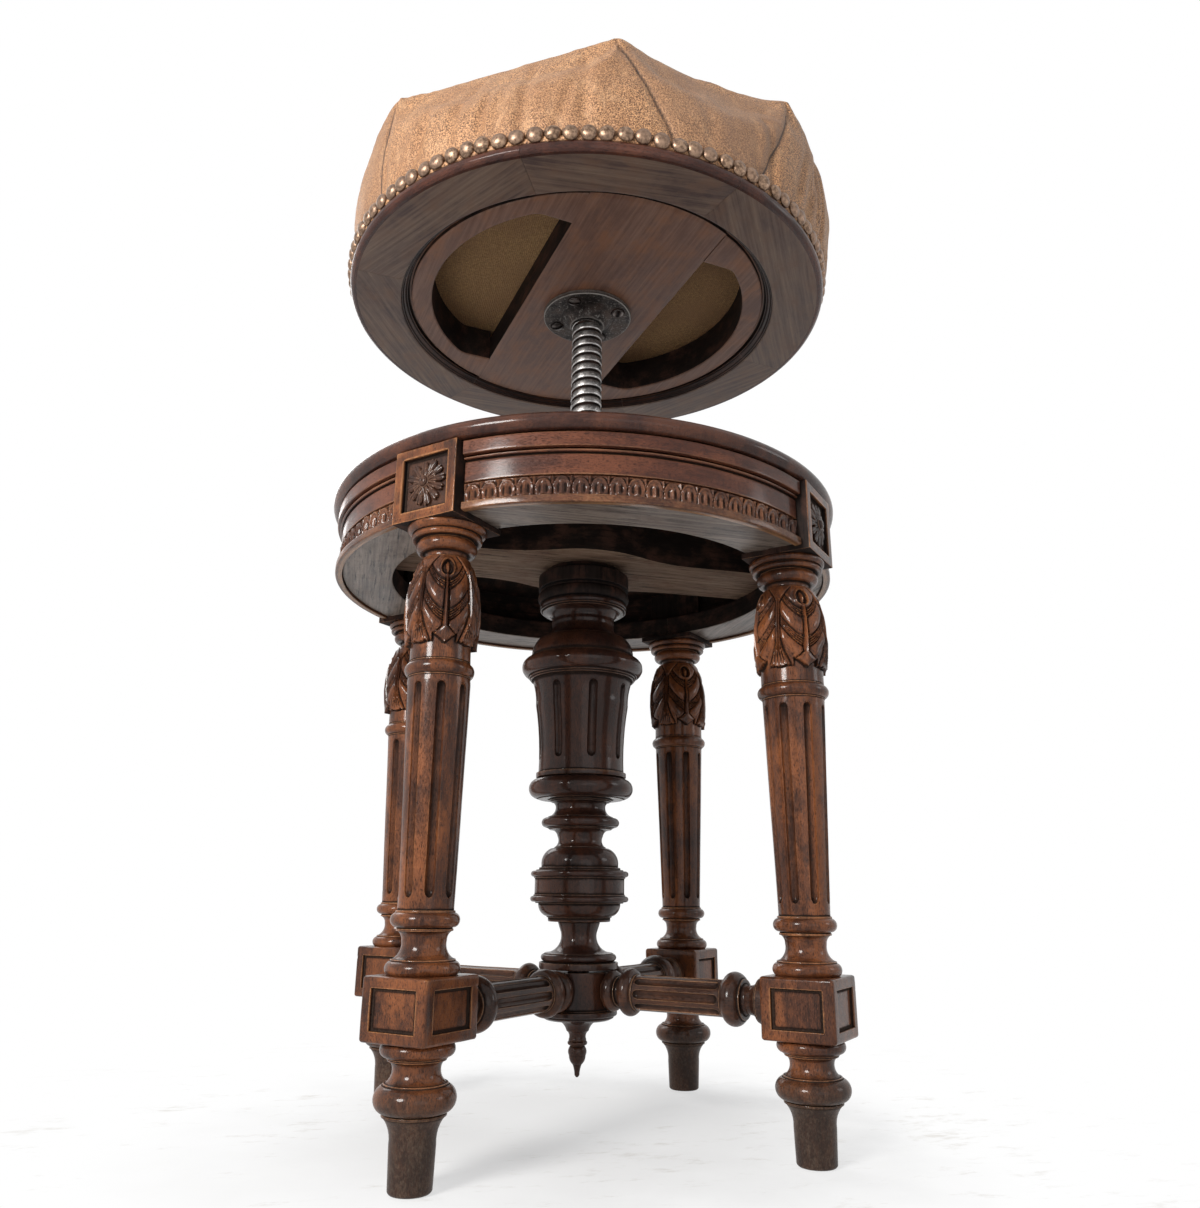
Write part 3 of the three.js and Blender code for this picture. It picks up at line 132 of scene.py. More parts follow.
def waver(places, length, seed):
    """The slight unevenness of hand work, between -1 and 1, about one swell in each length."""
    dice = np.random.default_rng(seed)
    ways = dice.normal(size=(7, 3))
    ways *= 2 * math.pi / length / np.linalg.norm(ways, axis=1, keepdims=True)
    ways *= dice.uniform(0.7, 1.4, size=(7, 1))
    phases = dice.uniform(0, 2 * math.pi, 7)
    return np.sin(places @ ways.T + phases).mean(1) * 1.8


def ring_at(angles, radii, height):
    """Points round +Z, one for each angle."""
    return np.stack([radii * np.cos(angles), radii * np.sin(angles), 0 * angles + height], 1)


def places_of(mesh):
    places = np.empty(len(mesh.vertices) * 3)
    mesh.vertices.foreach_get("co", places)
    return places.reshape(-1, 3) / MM


def normals_of(mesh):
    normals = np.empty(len(mesh.vertices) * 3)
    mesh.vertex_normals.foreach_get("vector", normals)
    return normals.reshape(-1, 3)


def store(mesh, name, values):
    """Keeps a number or a vector at each point of a mesh, for its finish to read."""
    kind, key = ("FLOAT", "value") if values.ndim == 1 else ("FLOAT_VECTOR", "vector")
    mesh.attributes.new(name, kind, "POINT").data.foreach_set(key, values.ravel())


class Form:
    """The islands of one piece's mesh, with the run of the grain (along, across, through) at each point."""

    def __init__(self):
        self.places, self.grain, self.faces, self.count = [], [], [], 0
        self.slots = []

    def add(self, places, faces, grain=None):
        places = np.asarray(places, float).reshape(-1, 3)
        self.places.append(places)
        self.grain.append(places[:, [2, 0, 1]] if grain is None else np.asarray(grain, float))
        self.faces.extend(tuple(int(i) + self.count for i in face) for face in faces)
        self.count += len(places)
        return self

    def skin(self, rings, caps=True, grain=None, round_again=True):
        """A skin over rings of points, closed at both ends where it has caps."""
        rings = np.asarray(rings, float)
        high, wide = rings.shape[:2]
        index = np.arange(high * wide).reshape(high, wide)
        here = index if round_again else index[:, :-1]
        after = np.roll(index, -1, 1) if round_again else index[:, 1:]
        faces = np.stack([here[:-1], after[:-1], after[1:], here[1:]], -1).reshape(-1, 4).tolist()
        places = rings.reshape(-1, 3)
        if caps:
            low, top = len(places), len(places) + 1
            places = np.vstack([places, rings[0].mean(0), rings[-1].mean(0)])
            faces += [(index[0, (i + 1) % wide], index[0, i], low) for i in range(wide)]
            faces += [(index[-1, i], index[-1, (i + 1) % wide], top) for i in range(wide)]
            if grain is not None:
                grain = np.asarray(grain, float).reshape(high, wide, 3)
                grain = np.vstack([grain.reshape(-1, 3), grain[0].mean(0), grain[-1].mean(0)])
        elif grain is not None:
            grain = np.asarray(grain, float).reshape(-1, 3)
        return self.add(places, faces, grain)

    def turned(self, points, columns=96, shape=None, unevenness=0.06, seed=1, caps=True):
        """A turned island about +Z; shape gives the angles and radii of a ring that is carved."""
        around = np.arange(columns) * 2 * math.pi / columns
        rings = []
        for radius, height in points:
            angles, radii = shape(height, radius) if shape else (around, np.full(columns, radius))
            radii = radii + 0 * angles
            rings.append(ring_at(angles, radii, height))
        rings = np.array(rings)
        flat = rings.reshape(-1, 3)
        swell = unevenness * waver(flat, 26, seed) / np.maximum(6, np.hypot(*flat.T[:2]))
        flat[:, :2] *= 1 + swell[:, None]
        return self.skin(rings, caps)

    def made(self, name, finish, grain_shift=(0, 0, 0), sharp=40):
        """The mesh as an object, with its wear and its hollows found from how the surface bends."""
        places, grain = np.vstack(self.places), np.vstack(self.grain) + grain_shift
        mesh = bpy.data.meshes.new(name)
        mesh.from_pydata((places * MM).tolist(), [], self.faces)
        shell = bmesh.new()
        shell.from_mesh(mesh)
        bmesh.ops.recalc_face_normals(shell, faces=shell.faces)
        shell.to_mesh(mesh)
        shell.free()
        made = bpy.data.objects.new(name, mesh)
        bpy.context.scene.collection.objects.link(made)
        store(mesh, "grain", grain)
        mark_wear(mesh)
        mesh.shade_smooth()
        mesh.set_sharp_from_angle(angle=math.radians(sharp))
        mesh.materials.append(finish)
        return made


def mark_wear(mesh):
    """Stores how much each point stands out, where hands rub, and how deep it lies, where dirt stays and where
    shade is painted.
    """
    count = len(mesh.vertices)
    places, normals = places_of(mesh), normals_of(mesh)
    ends = np.empty(len(mesh.edges) * 2, np.int64)
    mesh.edges.foreach_get("vertices", ends)
    a, b = ends.reshape(-1, 2).T
    way = places[b] - places[a]
    length = np.maximum((way**2).sum(1), 1e-4)
    bend = np.bincount(a, -(normals[a] * way).sum(1) / length, count)
    bend += np.bincount(b, (normals[b] * way).sum(1) / length, count)
    shared = np.maximum(np.bincount(a, minlength=count) + np.bincount(b, minlength=count), 1)
    bend = np.clip(bend / shared, -2, 2)
    near = np.exp(-np.sqrt(length) / 0.9)
    total = 1 + np.bincount(a, near, count) + np.bincount(b, near, count)

    def spread(values, times):
        for _ in range(times):
            around = np.bincount(a, near * values[b], count) + np.bincount(b, near * values[a], count)
            values = (values + around) / total
        return values

    store(mesh, "wear", np.clip(1.2 * spread(bend, 2), 0, 1))
    store(mesh, "hollow", np.clip(-(spread(bend, 1) + 1.1 * spread(bend, 4)), 0, 1))


class Shade:
    """A socket of a finish, so that its maths is written as an expression."""

    def __init__(self, finish, socket):
        self.finish, self.socket = finish, socket

    def math(self, operation, *values):
        return self.finish.node("ShaderNodeMath", {"operation": operation}, dict(enumerate(values)))

    def __add__(self, other):
        return self.math("ADD", self, other)

    def __sub__(self, other):
        return self.math("SUBTRACT", self, other)

    def __rsub__(self, other):
        return self.math("SUBTRACT", other, self)

    def __mul__(self, other):
        return self.math("MULTIPLY", self, other)

    __radd__, __rmul__ = __add__, __mul__

    def stretched(self, along, across=None, through=None):
        """A vector with its three parts scaled."""
        across = along if across is None else across
        scales = (along, across, across if through is None else through)
        return self.finish.node("ShaderNodeVectorMath", {"operation": "MULTIPLY"}, {0: self, 1: scales})

    def between(self, low, high):
        """0 below the low value, 1 above the high one, and smooth between."""
        sockets = {"Value": self, "From Min": low, "From Max": high}
        return self.finish.node("ShaderNodeMapRange", {"interpolation_type": "SMOOTHSTEP"}, sockets)


class Finish:
    """A finish in the making: a surface shader and the nodes that feed it."""

    def __init__(self, name):
        self.material = bpy.data.materials.new(name)
        self.material.use_nodes = True
        self.tree = self.material.node_tree
        self.tree.nodes.clear()
        self.surface = self.tree.nodes.new("ShaderNodeBsdfPrincipled")
        self.output = self.tree.nodes.new("ShaderNodeOutputMaterial")
        self.shown(Shade(self, self.surface.outputs[0]))

    @classmethod
    def of_world(cls, world):
        """The same for the light round the stool."""
        made = cls.__new__(cls)
        made.tree = world.node_tree
        made.tree.nodes.clear()
        made.output = made.tree.nodes.new("ShaderNodeOutputWorld")
        return made

    def shown(self, shader):
        self.feed(self.output.inputs["Surface"], shader)

    def over(self, share, shader):
        """Another shader over the surface, by a share."""
        under = Shade(self, self.surface.outputs[0])
        self.shown(self.node("ShaderNodeMixShader", sockets={0: share, 1: under, 2: shader}))

    def feed(self, socket, value):
        if isinstance(value, Shade):
            self.tree.links.new(value.socket, socket)
        elif isinstance(value, tuple) and socket.type == "RGBA":
            socket.default_value = (*value[:3], 1)
        else:
            socket.default_value = value

    def node(self, kind, settings=None, sockets=None, output=0):
        made = self.tree.nodes.new(kind)
        for key, value in (settings or {}).items():
            setattr(made, key, value)
        for key, value in (sockets or {}).items():
            self.feed(made.inputs[key], value)
        return Shade(self, made.outputs[output])

    def stored(self, name, output="Fac"):
        return self.node("ShaderNodeAttribute", {"attribute_name": name}, output=output)

    def noise(self, place, detail, roughness, *scales):
        sockets = {"Vector": place.stretched(*scales), "Scale": 1.0, "Detail": detail, "Roughness": roughness}
        return self.node("ShaderNodeTexNoise", sockets=sockets)

    def mix(self, share, first, second):
        return self.node("ShaderNodeMix", {"data_type": "RGBA"}, {0: share, 6: first, 7: second}, 2)

    def bump(self, height, depth, strength):
        sockets = {"Height": height, "Distance": depth * MM, "Strength": strength}
        return self.node("ShaderNodeBump", sockets=sockets)

    def paint(self, **sockets):
        for name, value in sockets.items():
            self.feed(self.surface.inputs[name.replace("_", " ")], value)
        return self.material


def tint(colour, share):
    return tuple(share * part for part in colour)


def polished_wood(name, deep, body, warm, bare, rubbed=1.0, gloss=0.36, dusty=0.0, soiled=None):
    """Stained and polished wood: fine pores, clouds of colour, dirt and painted shade in the hollows, edges rubbed
    bare.
    """
    shade_and_grime_brown, dust_grey = (0.009, 0.005, 0.004), (0.2, 0.15, 0.115)
    finish = Finish(name)
    grain = finish.stored("grain", "Vector")
    wear, hollow = finish.stored("wear"), finish.stored("hollow")
    fibres = finish.noise(grain, 5, 0.62, 0.035, 0.5)
    pores = finish.noise(grain, 3, 0.6, 0.45, 1.9)
    clouds = finish.noise(grain, 4, 0.6, 0.02, 0.045)
    specks = finish.noise(grain, 5, 0.7, 0.5, 0.7)
    blotches = finish.noise(grain, 5, 0.62, 0.045, 0.075)
    colour = finish.mix((fibres * 0.4 + pores * 0.3 + blotches * 0.3).between(0.34, 0.62), deep, body)
    colour = finish.mix((clouds * 0.7 + blotches * 0.3).between(0.43, 0.6) * 0.85, colour, warm)
    colour = finish.mix(blotches.between(0.54, 0.7) * 0.6, colour, deep)
    colour = finish.mix(pores.between(0.54, 0.65) * 0.7, colour, tint(deep, 0.4))
    colour = finish.mix((1 - pores).between(0.56, 0.68) * 0.3, colour, tint(warm, 1.4))
    worn = (wear * 1.5 + clouds * 0.9 + specks * 0.9 - 0.72).between(0.5, 1.25) * rubbed
    bared = finish.mix(fibres.between(0.3, 0.7), tint(bare, 0.45), bare)
    colour = finish.mix(worn * 0.8, colour, bared)
    # painted shade and dirt: the hollows are darkened to near-black brown, for the shade that falls in recesses as
    # well as for grime
    darkened_hollows = (hollow * 1.5 + specks * 0.25 - 0.12).between(0.04, 0.55)
    colour = finish.mix(darkened_hollows * 0.93, colour, shade_and_grime_brown)
    dust = (specks * 1.1 + clouds * 0.6 + hollow * 0.6).between(0.9, 1.5) * dusty
    colour = finish.mix(dust, colour, dust_grey)
    if soiled:
        wet_earth, dry_earth = (0.026, 0.016, 0.012), (0.085, 0.062, 0.045)
        place = finish.node("ShaderNodeTexCoord", output="Object")
        height = finish.node("ShaderNodeSeparateXYZ", sockets={0: place}, output="Z")
        soil = (height + specks * 0.012 + blotches * 0.02).between((soiled + 22) * MM, (soiled - 8) * MM)
        grains = (specks * 0.6 + blotches * 0.4).between(0.42, 0.66)
        colour = finish.mix(soil * 0.8, colour, finish.mix(grains, wet_earth, dry_earth))
        dust = dust + soil * 0.3
    roughness = gloss - 0.1 + fibres * 0.08 + specks * 0.26 + darkened_hollows * 0.35 + dust * 0.5
    relief = fibres * 0.3 - pores.between(0.5, 0.7) * 0.6 + specks * 0.7 + blotches * 0.4
    normal = finish.bump(relief, 0.4, 0.9)
    coat = 0.5 - darkened_hollows * 0.48 - dust * 0.4
    return finish.paint(
        Base_Color=colour, Roughness=roughness, Normal=normal, Specular_IOR_Level=0.08,
        Coat_Weight=coat, Coat_Roughness=0.13, Coat_IOR=1.4,
    )


def groove_heights(low, high, point, half_width):
    """Where the rings of a fluted shaft lie: close together at both ends of the flutes."""
    foot = low + point * (1 - np.cos(np.linspace(0, QUARTER, 12)))
    head = high - half_width * np.sin(np.linspace(0, QUARTER, 9))[::-1]
    return sorted([low - 0.4, *foot, *np.linspace(low + point, high - half_width, 12)[1:-1], *head, high + 0.4])


def flutes(count, half_width, depth, low, high, point):
    """The flutes of a shaft, as angles and radii of one ring: round at both ends, and longer below."""
    inside = np.sin(np.linspace(-1, 1, 13) * QUARTER)
    outside = np.array([0.0, 0.04, 0.12, 0.3, 0.5, 0.7, 0.88, 0.96, 1.0])[1:-1]
    sector = 2 * math.pi / count

    def shape(height, radius):
        rise = np.clip((height - low) / point, 0, 1)
        fall = np.clip((high - height) / half_width, 0, 1)
        width = half_width * math.sqrt(max(0.0, 1 - (1 - min(rise, fall)) ** 2))
        span = max(width, 0.3 * half_width)
        across = inside * span
        cut = np.sqrt(np.clip(1 - (across / max(width, 1e-6)) ** 2, 0, 1)) * depth * width / half_width
        half_angle = math.asin(span / radius)
        gap = half_angle + outside * (sector - 2 * half_angle)
        angles = np.concatenate([inside * half_angle, gap])
        radii = np.concatenate([radius - cut, np.full(len(gap), radius)])
        turns = np.arange(count)[:, None] * sector
        return (angles + turns).ravel(), np.tile(radii, count)

    return shape


def capital_relief(angles, height, radius):
    """The carving of the capital: four fans of ribs, and between them an eye over a leaf with curved veins."""
    foot, top = 276, 330
    eye_axis = math.pi / 4
    x = ((angles - eye_axis + eye_axis) % QUARTER - eye_axis) * 20
    from_eye, from_fan = np.abs(x), 15.7 - np.abs(x)
    y = height - foot

    def band(value, low, high, soft=0.35):
        rise = np.clip((value - low) / soft, 0, 1)
        fall = np.clip((high - value) / soft, 0, 1)
        return (rise * rise * (3 - 2 * rise)) * (fall * fall * (3 - 2 * fall))

    def groove(value, width=0.62):
        return np.exp(-((value / width) ** 2))

    fan_half = 1.3 + 6.4 * np.clip((19 - y) / 19, 0, 1) ** 1.5 + 0.2 * np.clip(y - 42, 0, 12) ** 1.5
    fan = band(fan_half - from_fan, 0, 99, 0.5)
    ribs = np.cos(2 * math.pi * from_fan / np.maximum(fan_half, 2.2) * 3.0) * band(y, 1, 50, 8)
    relief = fan * (0.5 + 0.45 * ribs) - 1.0 * groove(from_fan - fan_half)

    leaf = 1 - fan
    sweep = y - 11 * (from_eye / 12) ** 1.7
    upper_veins, lower_veins = band(sweep, 31.5, 37.5), band(sweep, 12.5, 19.5)
    veins = np.cos(2 * math.pi * sweep / 1.5)
    bellies = band(sweep, 19.8, 31.2, 5) + band(sweep, 2, 12.2, 4) + 0.6 * band(sweep, 37.8, 70, 3)
    grooves = sum(groove(sweep - edge) for edge in (12.4, 19.6, 31.4, 37.6))
    relief += leaf * ((upper_veins + lower_veins) * (0.42 * veins - 0.3) + 0.55 * bellies - 0.8 * grooves)

    lid = np.hypot(x / 4.3, (y - 45.6) / 5.6)
    relief += leaf * 0.65 * groove(lid - 1.05, 0.16)
    socket = band(1 - lid, 0, 9, 0.14)
    drop = np.clip(1 - np.hypot(x / (1.0 + 0.13 * np.clip(y - 41, 0, 6)), (y - 45.0) / 4.6), 0, 1)
    relief = relief * (1 - socket) + socket * (-1.3 + 2.6 * np.sqrt(drop))

    rib_half = 0.9 + np.clip(34 - y, 0, 40) * 0.035
    dart_half = np.clip((13.5 - y) / 8.5, 0, 1) ** 1.6 * 7.0
    dart_half = np.where(y < 5, 7.0 * np.clip((y + 0.6) / 5.6, 0, 1) ** 1.1, dart_half)
    half = np.maximum(rib_half, dart_half)
    middle = band(y, -1, 41.5, 1.2) * band(half - from_eye, 0, 99, 0.3)
    ridge = 0.5 + 1.15 * np.clip(1 - from_eye / half, 0, 1) ** 1.2
    relief = relief * (1 - middle) + middle * ridge
    relief -= 1.0 * groove(from_eye - half, 0.5) * band(y, 1, 40, 2)

    scallop = 0.9 + 0.9 * np.abs(np.sin(from_fan * 1.25))
    fan_foot = np.where(from_fan < 8.2, scallop * np.clip(from_fan / 3, 0.4, 1), 6)
    dart_foot = np.where(from_eye < 7.2, 5.6 * (from_eye / 7.0) ** 0.9, 6)
    edge = np.minimum(fan_foot, dart_foot)
    carved = np.clip((y - edge) / 0.5, 0, 1)
    flare = 0.9 * np.exp(-np.clip(y - edge, 0, 99) / 3.2)
    fading = np.clip((top - height) / 2.5, 0, 1)
    bare = 19.4 - radius
    return np.where(carved > 0, bare * (1 - carved) + carved * fading * (1.35 * relief + flare), bare)


def softened_box(form, low, high, edge, sunk=None, lines=((), (), ()), seed=5, chips=0.0):
    """A box with eased edges; sunk gives how deep a face lies below its plane, from its two places."""
    low, high = np.array(low, float), np.array(high, float)
    eased = edge * np.array([0, 0.12, 0.3, 0.5, 0.72, 1])
    marks = []
    for axis in range(3):
        plain = np.linspace(low[axis] + edge, high[axis] - edge, 9)
        ticks = np.concatenate([low[axis] + eased, plain, high[axis] - eased, np.array(lines[axis], float)])
        marks.append(np.unique(np.round(ticks, 3)))
    places, faces, start = [], [], 0
    for axis in range(3):
        first, second = [a for a in range(3) if a != axis]
        for sign in (-1, 1):
            grid = np.empty((len(marks[first]), len(marks[second]), 3))
            grid[..., first], grid[..., second] = np.meshgrid(marks[first], marks[second], indexing="ij")
            grid[..., axis] = high[axis] if sign > 0 else low[axis]
            core = np.clip(grid, low + edge, high - edge)
            way = grid - core
            spot = core + way / np.linalg.norm(way, axis=-1, keepdims=True) * edge
            if sunk and (axis, sign) in sunk:
                spot[..., axis] -= sign * sunk[axis, sign](grid[..., first], grid[..., second])
            index = np.arange(grid.shape[0] * grid.shape[1]).reshape(grid.shape[:2]) + start
            corners = [index[:-1, :-1], index[1:, :-1], index[1:, 1:], index[:-1, 1:]]
            flip = (sign > 0) == (axis == 1)
            faces += np.stack(corners[::-1] if flip else corners, -1).reshape(-1, 4).tolist()
            places.append(spot.reshape(-1, 3))
            start += len(places[-1])
    places = np.vstack(places)
    _, keep, where = np.unique(np.round(places, 2), axis=0, return_index=True, return_inverse=True)
    places, where = places[keep], where.ravel()
    centre = (low + high) / 2
    places = centre + (places - centre) * (1 + 0.0022 * waver(places, 24, seed)[:, None])
    if chips:
        near = np.sort(np.minimum(places - low, high - places), axis=1)[:, :2].sum(1)
        bite = np.clip(waver(places, 5, seed + 1) - 0.75, 0, 1) * chips * np.exp(-near / 1.4)
        places += (centre - places) / np.linalg.norm(centre - places, axis=1, keepdims=True) * bite[:, None]
    faces = [tuple(dict.fromkeys(where[list(face)].tolist())) for face in faces]
    return form.add(places, [f for f in faces if len(f) > 2])


def sunk_panel(low, high, margin, depth, slope=0.5):
    """A panel sunk in a face: its depth from how far a place lies inside the margin."""

    def depth_at(first, second):
        sides = (first - low[0], high[0] - first, second - low[1], high[1] - second)
        inside = np.minimum.reduce(sides)
        share = np.clip((inside - margin) / slope, 0, 1)
        return depth * share * share * (3 - 2 * share)

    return depth_at


def panel_lines(low, high, margin, slope=0.5):
    steps = margin + np.append(slope * np.array([-4, -0.6, -0.1, 0.1, 0.35, 0.65, 0.9, 1.1]), [1.3, 2.4, 4])
    return np.concatenate([low + steps, high - steps])


def leg_form():
    form = Form()
    lower = (
        Outline(10.4).line(11.2, 0.8).line(11.9, 19.2)  # shin, eased at the sole
        .round(16.0, 12, -1.4).step(16.6).rise(1.2).step(15.6).rise(0.6)  # flare under the bulb
        .step(17.4).bead(11.4, 3.7)  # bulb
        .step(16.6).rise(1.0).step(15.6).round(12.5, 6.8, -1.2)  # neck
        .round(14.4, 2.8, -0.4).step(15.2).rise(1.0).step(15.9).rise(0.8)
        .step(17).bead(6.4, 2.4)  # torus under the block
    )
    form.turned(lower.softened(), 96)
    half, foot, top, margin = 21.7, 64, 101, 6.5  # block
    panel = sunk_panel((-half, foot), (half, top), margin, 1.8)
    panels = {face: panel for face in ((0, 1), (1, 1), (1, -1))}
    flat, tall = panel_lines(-half, half, margin), panel_lines(foot, top, margin)
    softened_box(form, (-half, -half, foot), (half, half, top), 2.0, panels, (flat, flat, tall), chips=2.2)
    upper = (
        Outline(17.4, 100.6).bead(7, 2.5).step(17.2).rise(1.0).step(16.2)  # torus on the block
        .round(12, 9, -1.7).round(14.4, 4.4, -0.7).step(15.2).rise(1.1).step(14.7).rise(0.7)  # neck
        .step(15.8).bead(7.2, 2.7).step(15.9).rise(1.0).step(15)  # ring under the shaft
    )
    upper.rise(132 - upper.height).line(19.2, 127)  # fluted shaft
    upper.step(19.4).rise(0.8).step(19.8).bead(7.4, 2.3).step(19.6).rise(0.8).step(19.2).rise(3)  # astragal
    low, high, point, half_width = 138.6, 255, 4.5, 2.75  # flutes
    points = with_heights(upper.softened(), groove_heights(low, high, point, half_width))
    form.turned(points, shape=flutes(8, half_width, 2.5, low, high, point), seed=3)
    capital = Outline(19.4, 268.6).rise(7.4).step(20.4).round(16, 54, 4.4).step(13)
    points = with_heights(capital.softened(0.2), np.arange(275.2, 330, 0.45))
    columns = 288
    around = np.arange(columns) * 2 * math.pi / columns
    form.turned(points, shape=lambda z, r: (around, r + (capital_relief(around, z, r) if 275 < z < 330 else 0)))
    head = (
        Outline(13, 328).rise(0.4).step(15.2).rise(1.6).step(13.8).round(14, 4, -0.6)
        .step(17.2).bead(7.4, 2.5).step(17.6).rise(0.6)  # disc
        .step(21.8).bead(3, 0.9).step(21.6).rise(0.7).step(22.4).bead(4.7, 1.9).step(20)  # disc under the plate
    )
    form.turned(head.softened(), 96, seed=4)
    half, foot, face, margin, slope = 23, 350, 24, 6, 0.4  # plate and post
    softened_box(form, (-22, -half, foot), (face, half, 353.7), 0.5, seed=7)
    panels = {(0, 1): sunk_panel((-half, foot), (half, FRAME_TOP), margin, 3.2, slope)}
    lines = (), panel_lines(-half, half, margin, slope), panel_lines(foot, FRAME_TOP, margin, slope)
    softened_box(form, (-4, -half, foot), (face, half, FRAME_TOP), 0.6, panels, lines, seed=8, chips=0.5)
    return form


def placed(piece, turn, distance=0.0, height=0.0, tilt=0.0):
    """Tilts a piece, moves it out along its arm and turns the arm about the axis of the screw."""
    move = Matrix.Translation((distance * MM, 0, height * MM))
    piece.matrix_world = Matrix.Rotation(math.radians(turn), 4, "Z") @ move @ Matrix.Rotation(tilt, 4, "Y")
    return piece


def carried(piece, body, slot, *nodes):
    """A piece that rides on a body and stands for its CAD nodes; the slot is not used."""
    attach(piece, body)
    if nodes:
        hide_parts(*nodes)
    return piece


leg_wood = polished_wood(
    "polished mahogany of the legs", (0.016, 0.0062, 0.004), (0.088, 0.03, 0.014), (0.21, 0.068, 0.023),
    (0.46, 0.2, 0.08), dusty=0.1, soiled=52,
)
TURNING_MARKS = [0, 20, 47, 64, 101, 132, 160]
MARKS_OF_LEG = {  # where the turner's marks lie on each leg, for no two are quite alike
    "back_right": [0, 20, 47, 64, 101, 132, 160],
    "back_left": [0, 22, 51, 69.5, 104, 134.5, 160],
    "front_left": [0, 21.5, 50.5, 68.8, 100.8, 133, 160],
    "front_right": [0, 19.2, 46, 64, 97.8, 130.4, 160],
}
SLIM_LEG = "front_left"  # the turner took more off this one, from the shaft to the disc
SLIM_HEIGHTS = [132, 200, 256, 262, 278, 328, 333, 346, 349.9]
SLIM_SHARES = [1, 0.965, 0.94, 0.9, 0.885, 0.89, 0.92, 0.93, 1]
turned_legs = []
for i, (corner, turn) in enumerate(CORNERS.items()):
    form = leg_form()
    for places in form.places:
        low = places[:, 2] < TURNING_MARKS[-1]
        places[low, 2] = np.interp(places[low, 2], TURNING_MARKS, MARKS_OF_LEG[corner])
        if corner == SLIM_LEG:
            turned = (places[:, 2] > SLIM_HEIGHTS[0]) & (places[:, 2] < SLIM_HEIGHTS[-1])
            places[turned, :2] *= np.interp(places[turned, 2], SLIM_HEIGHTS, SLIM_SHARES)[:, None]
    leg = placed(form.made("turned_leg_" + corner, leg_wood, (311 * i, 37 * i, 0)), turn, LEG_CIRCLE)
    turned_legs.append(carried(leg, "stand", "mahogany", "leg_" + corner))

# ------------------------------------------------------------
# Rosettes. Four carved flowers of two rows of petals round a boss, glued into the sunk squares of the
# posts; they and the squares are stained darker than the legs, and worn lighter on their crests.
ROSETTE_PLACE = LEG_CIRCLE + 20.9
ROSETTE_HEIGHT = 373.1


def petal_row(form, count, reach, valley, crest, foot, turn, seed):
    """One row of lobed, hollowed petals, looking along +X."""
    around = np.linspace(0, 2 * math.pi, count * 20, endpoint=False)
    across = (around * count / (2 * math.pi) + 0.5) % 1 - 0.5
    dice = np.random.default_rng(seed)
    stretch = np.roll(np.repeat(dice.uniform(0.94, 1.05, count), 20), -10)
    bow = np.clip(1 - (2 * np.abs(across)) ** 2.6, 0, 1)
    edge = (valley + (reach - valley) * bow**0.6 - 0.9 * np.exp(-((across / 0.07) ** 2))) * stretch
    rings = []
    for share in [0.04, 0.12, 0.2, 0.3, 0.4, 0.5, 0.6, 0.7, 0.8, 0.88, 0.94, 0.98, 1.0]:
        swell = math.sin(math.pi * min(1.0, 0.12 + 0.72 * share)) ** 0.7
        cup = 1 - 0.75 * (2 * np.abs(across)) ** 3.5 * share
        furrow = 0.3 * np.exp(-((across / 0.09) ** 2)) * share
        height = foot + crest * swell * cup - furrow - (0.5 if share == 1.0 else 0)
        rings.append(ring_at(around + turn, edge * share, height)[:, [2, 0, 1]])
    rings.append(rings[-1] * [0, 1, 1] + [-0.3, 0, 0])
    rings = np.array(rings)
    return form.skin(rings, grain=rings.reshape(-1, 3)[:, [2, 1, 0]])


def rosette_form():
    form = Form()
    petal_row(form, 12, reach=14.6, valley=8.0, crest=2.2, foot=0.4, turn=0.13, seed=2)
    petal_row(form, 12, reach=9.0, valley=5.2, crest=1.5, foot=1.7, turn=0.13 + math.pi / 12, seed=3)
    boss = Outline(4.4, 0.4).rise(2.3).step(3.4).bead(1.0, 0.4).step(3.0).round(0.4, 1.5, 0.8)
    around = np.arange(32) * math.pi / 16
    rings = [ring_at(around, r, h)[:, [2, 0, 1]] for r, h in boss.points]
    return form.skin(rings)


rosette_wood = polished_wood(
    "carved mahogany of the rosettes", (0.013, 0.0065, 0.005), (0.042, 0.018, 0.012), (0.075, 0.031, 0.017),
    (0.24, 0.125, 0.075), gloss=0.36, dusty=0.08,
)


def lined(piece, finish, where):
    """Gives another finish to the faces that the test picks by their middle and normal, in millimetres."""
    piece.data.materials.append(finish)
    for face in piece.data.polygons:
        if where(face.center / MM, face.normal):
            face.material_index = len(piece.data.materials) - 1
    return piece


for leg in turned_legs:
    lined(leg, rosette_wood, lambda at, up: 20 < at.x < 23.4 and 355 < at.z < 391 and abs(at.y) < 17.4)
rosettes = rosette_form()
for i, (corner, turn) in enumerate(CORNERS.items()):
    rosette = rosettes.made("rosette_of_leg_" + corner, rosette_wood, (41 * i, 0, 0))
    placed(rosette, turn, ROSETTE_PLACE, ROSETTE_HEIGHT)
    carried(rosette, "stand", "worn_mahogany", "rosette_" + corner)

# ------------------------------------------------------------
# Hub and its finial. A turned drum with a flat collar below, socketed for the four stretchers and for
# the column; the drop finial is glued into it from below.
hub_wood = polished_wood(
    "dark mahogany of the hub and the column", (0.0105, 0.0048, 0.0036), (0.036, 0.0132, 0.0082),
    (0.066, 0.0225, 0.0112), (0.19, 0.09, 0.045), rubbed=0.7, gloss=0.4, dusty=0.08,
)
hub = Form()
hub_outline = (
    Outline(21, 64.2).line(23.4, 1.2).rise(1.2).step(24.6).line(25.5, 0.8).rise(2.6)
    .step(22.6).rise(0.7).step(21.7).rise(22.9).step(20)
)
hub.turned(hub_outline.softened(0.5), 112, seed=11)
carried(hub.made("hub", hub_wood), "stand", "mahogany", "hub")

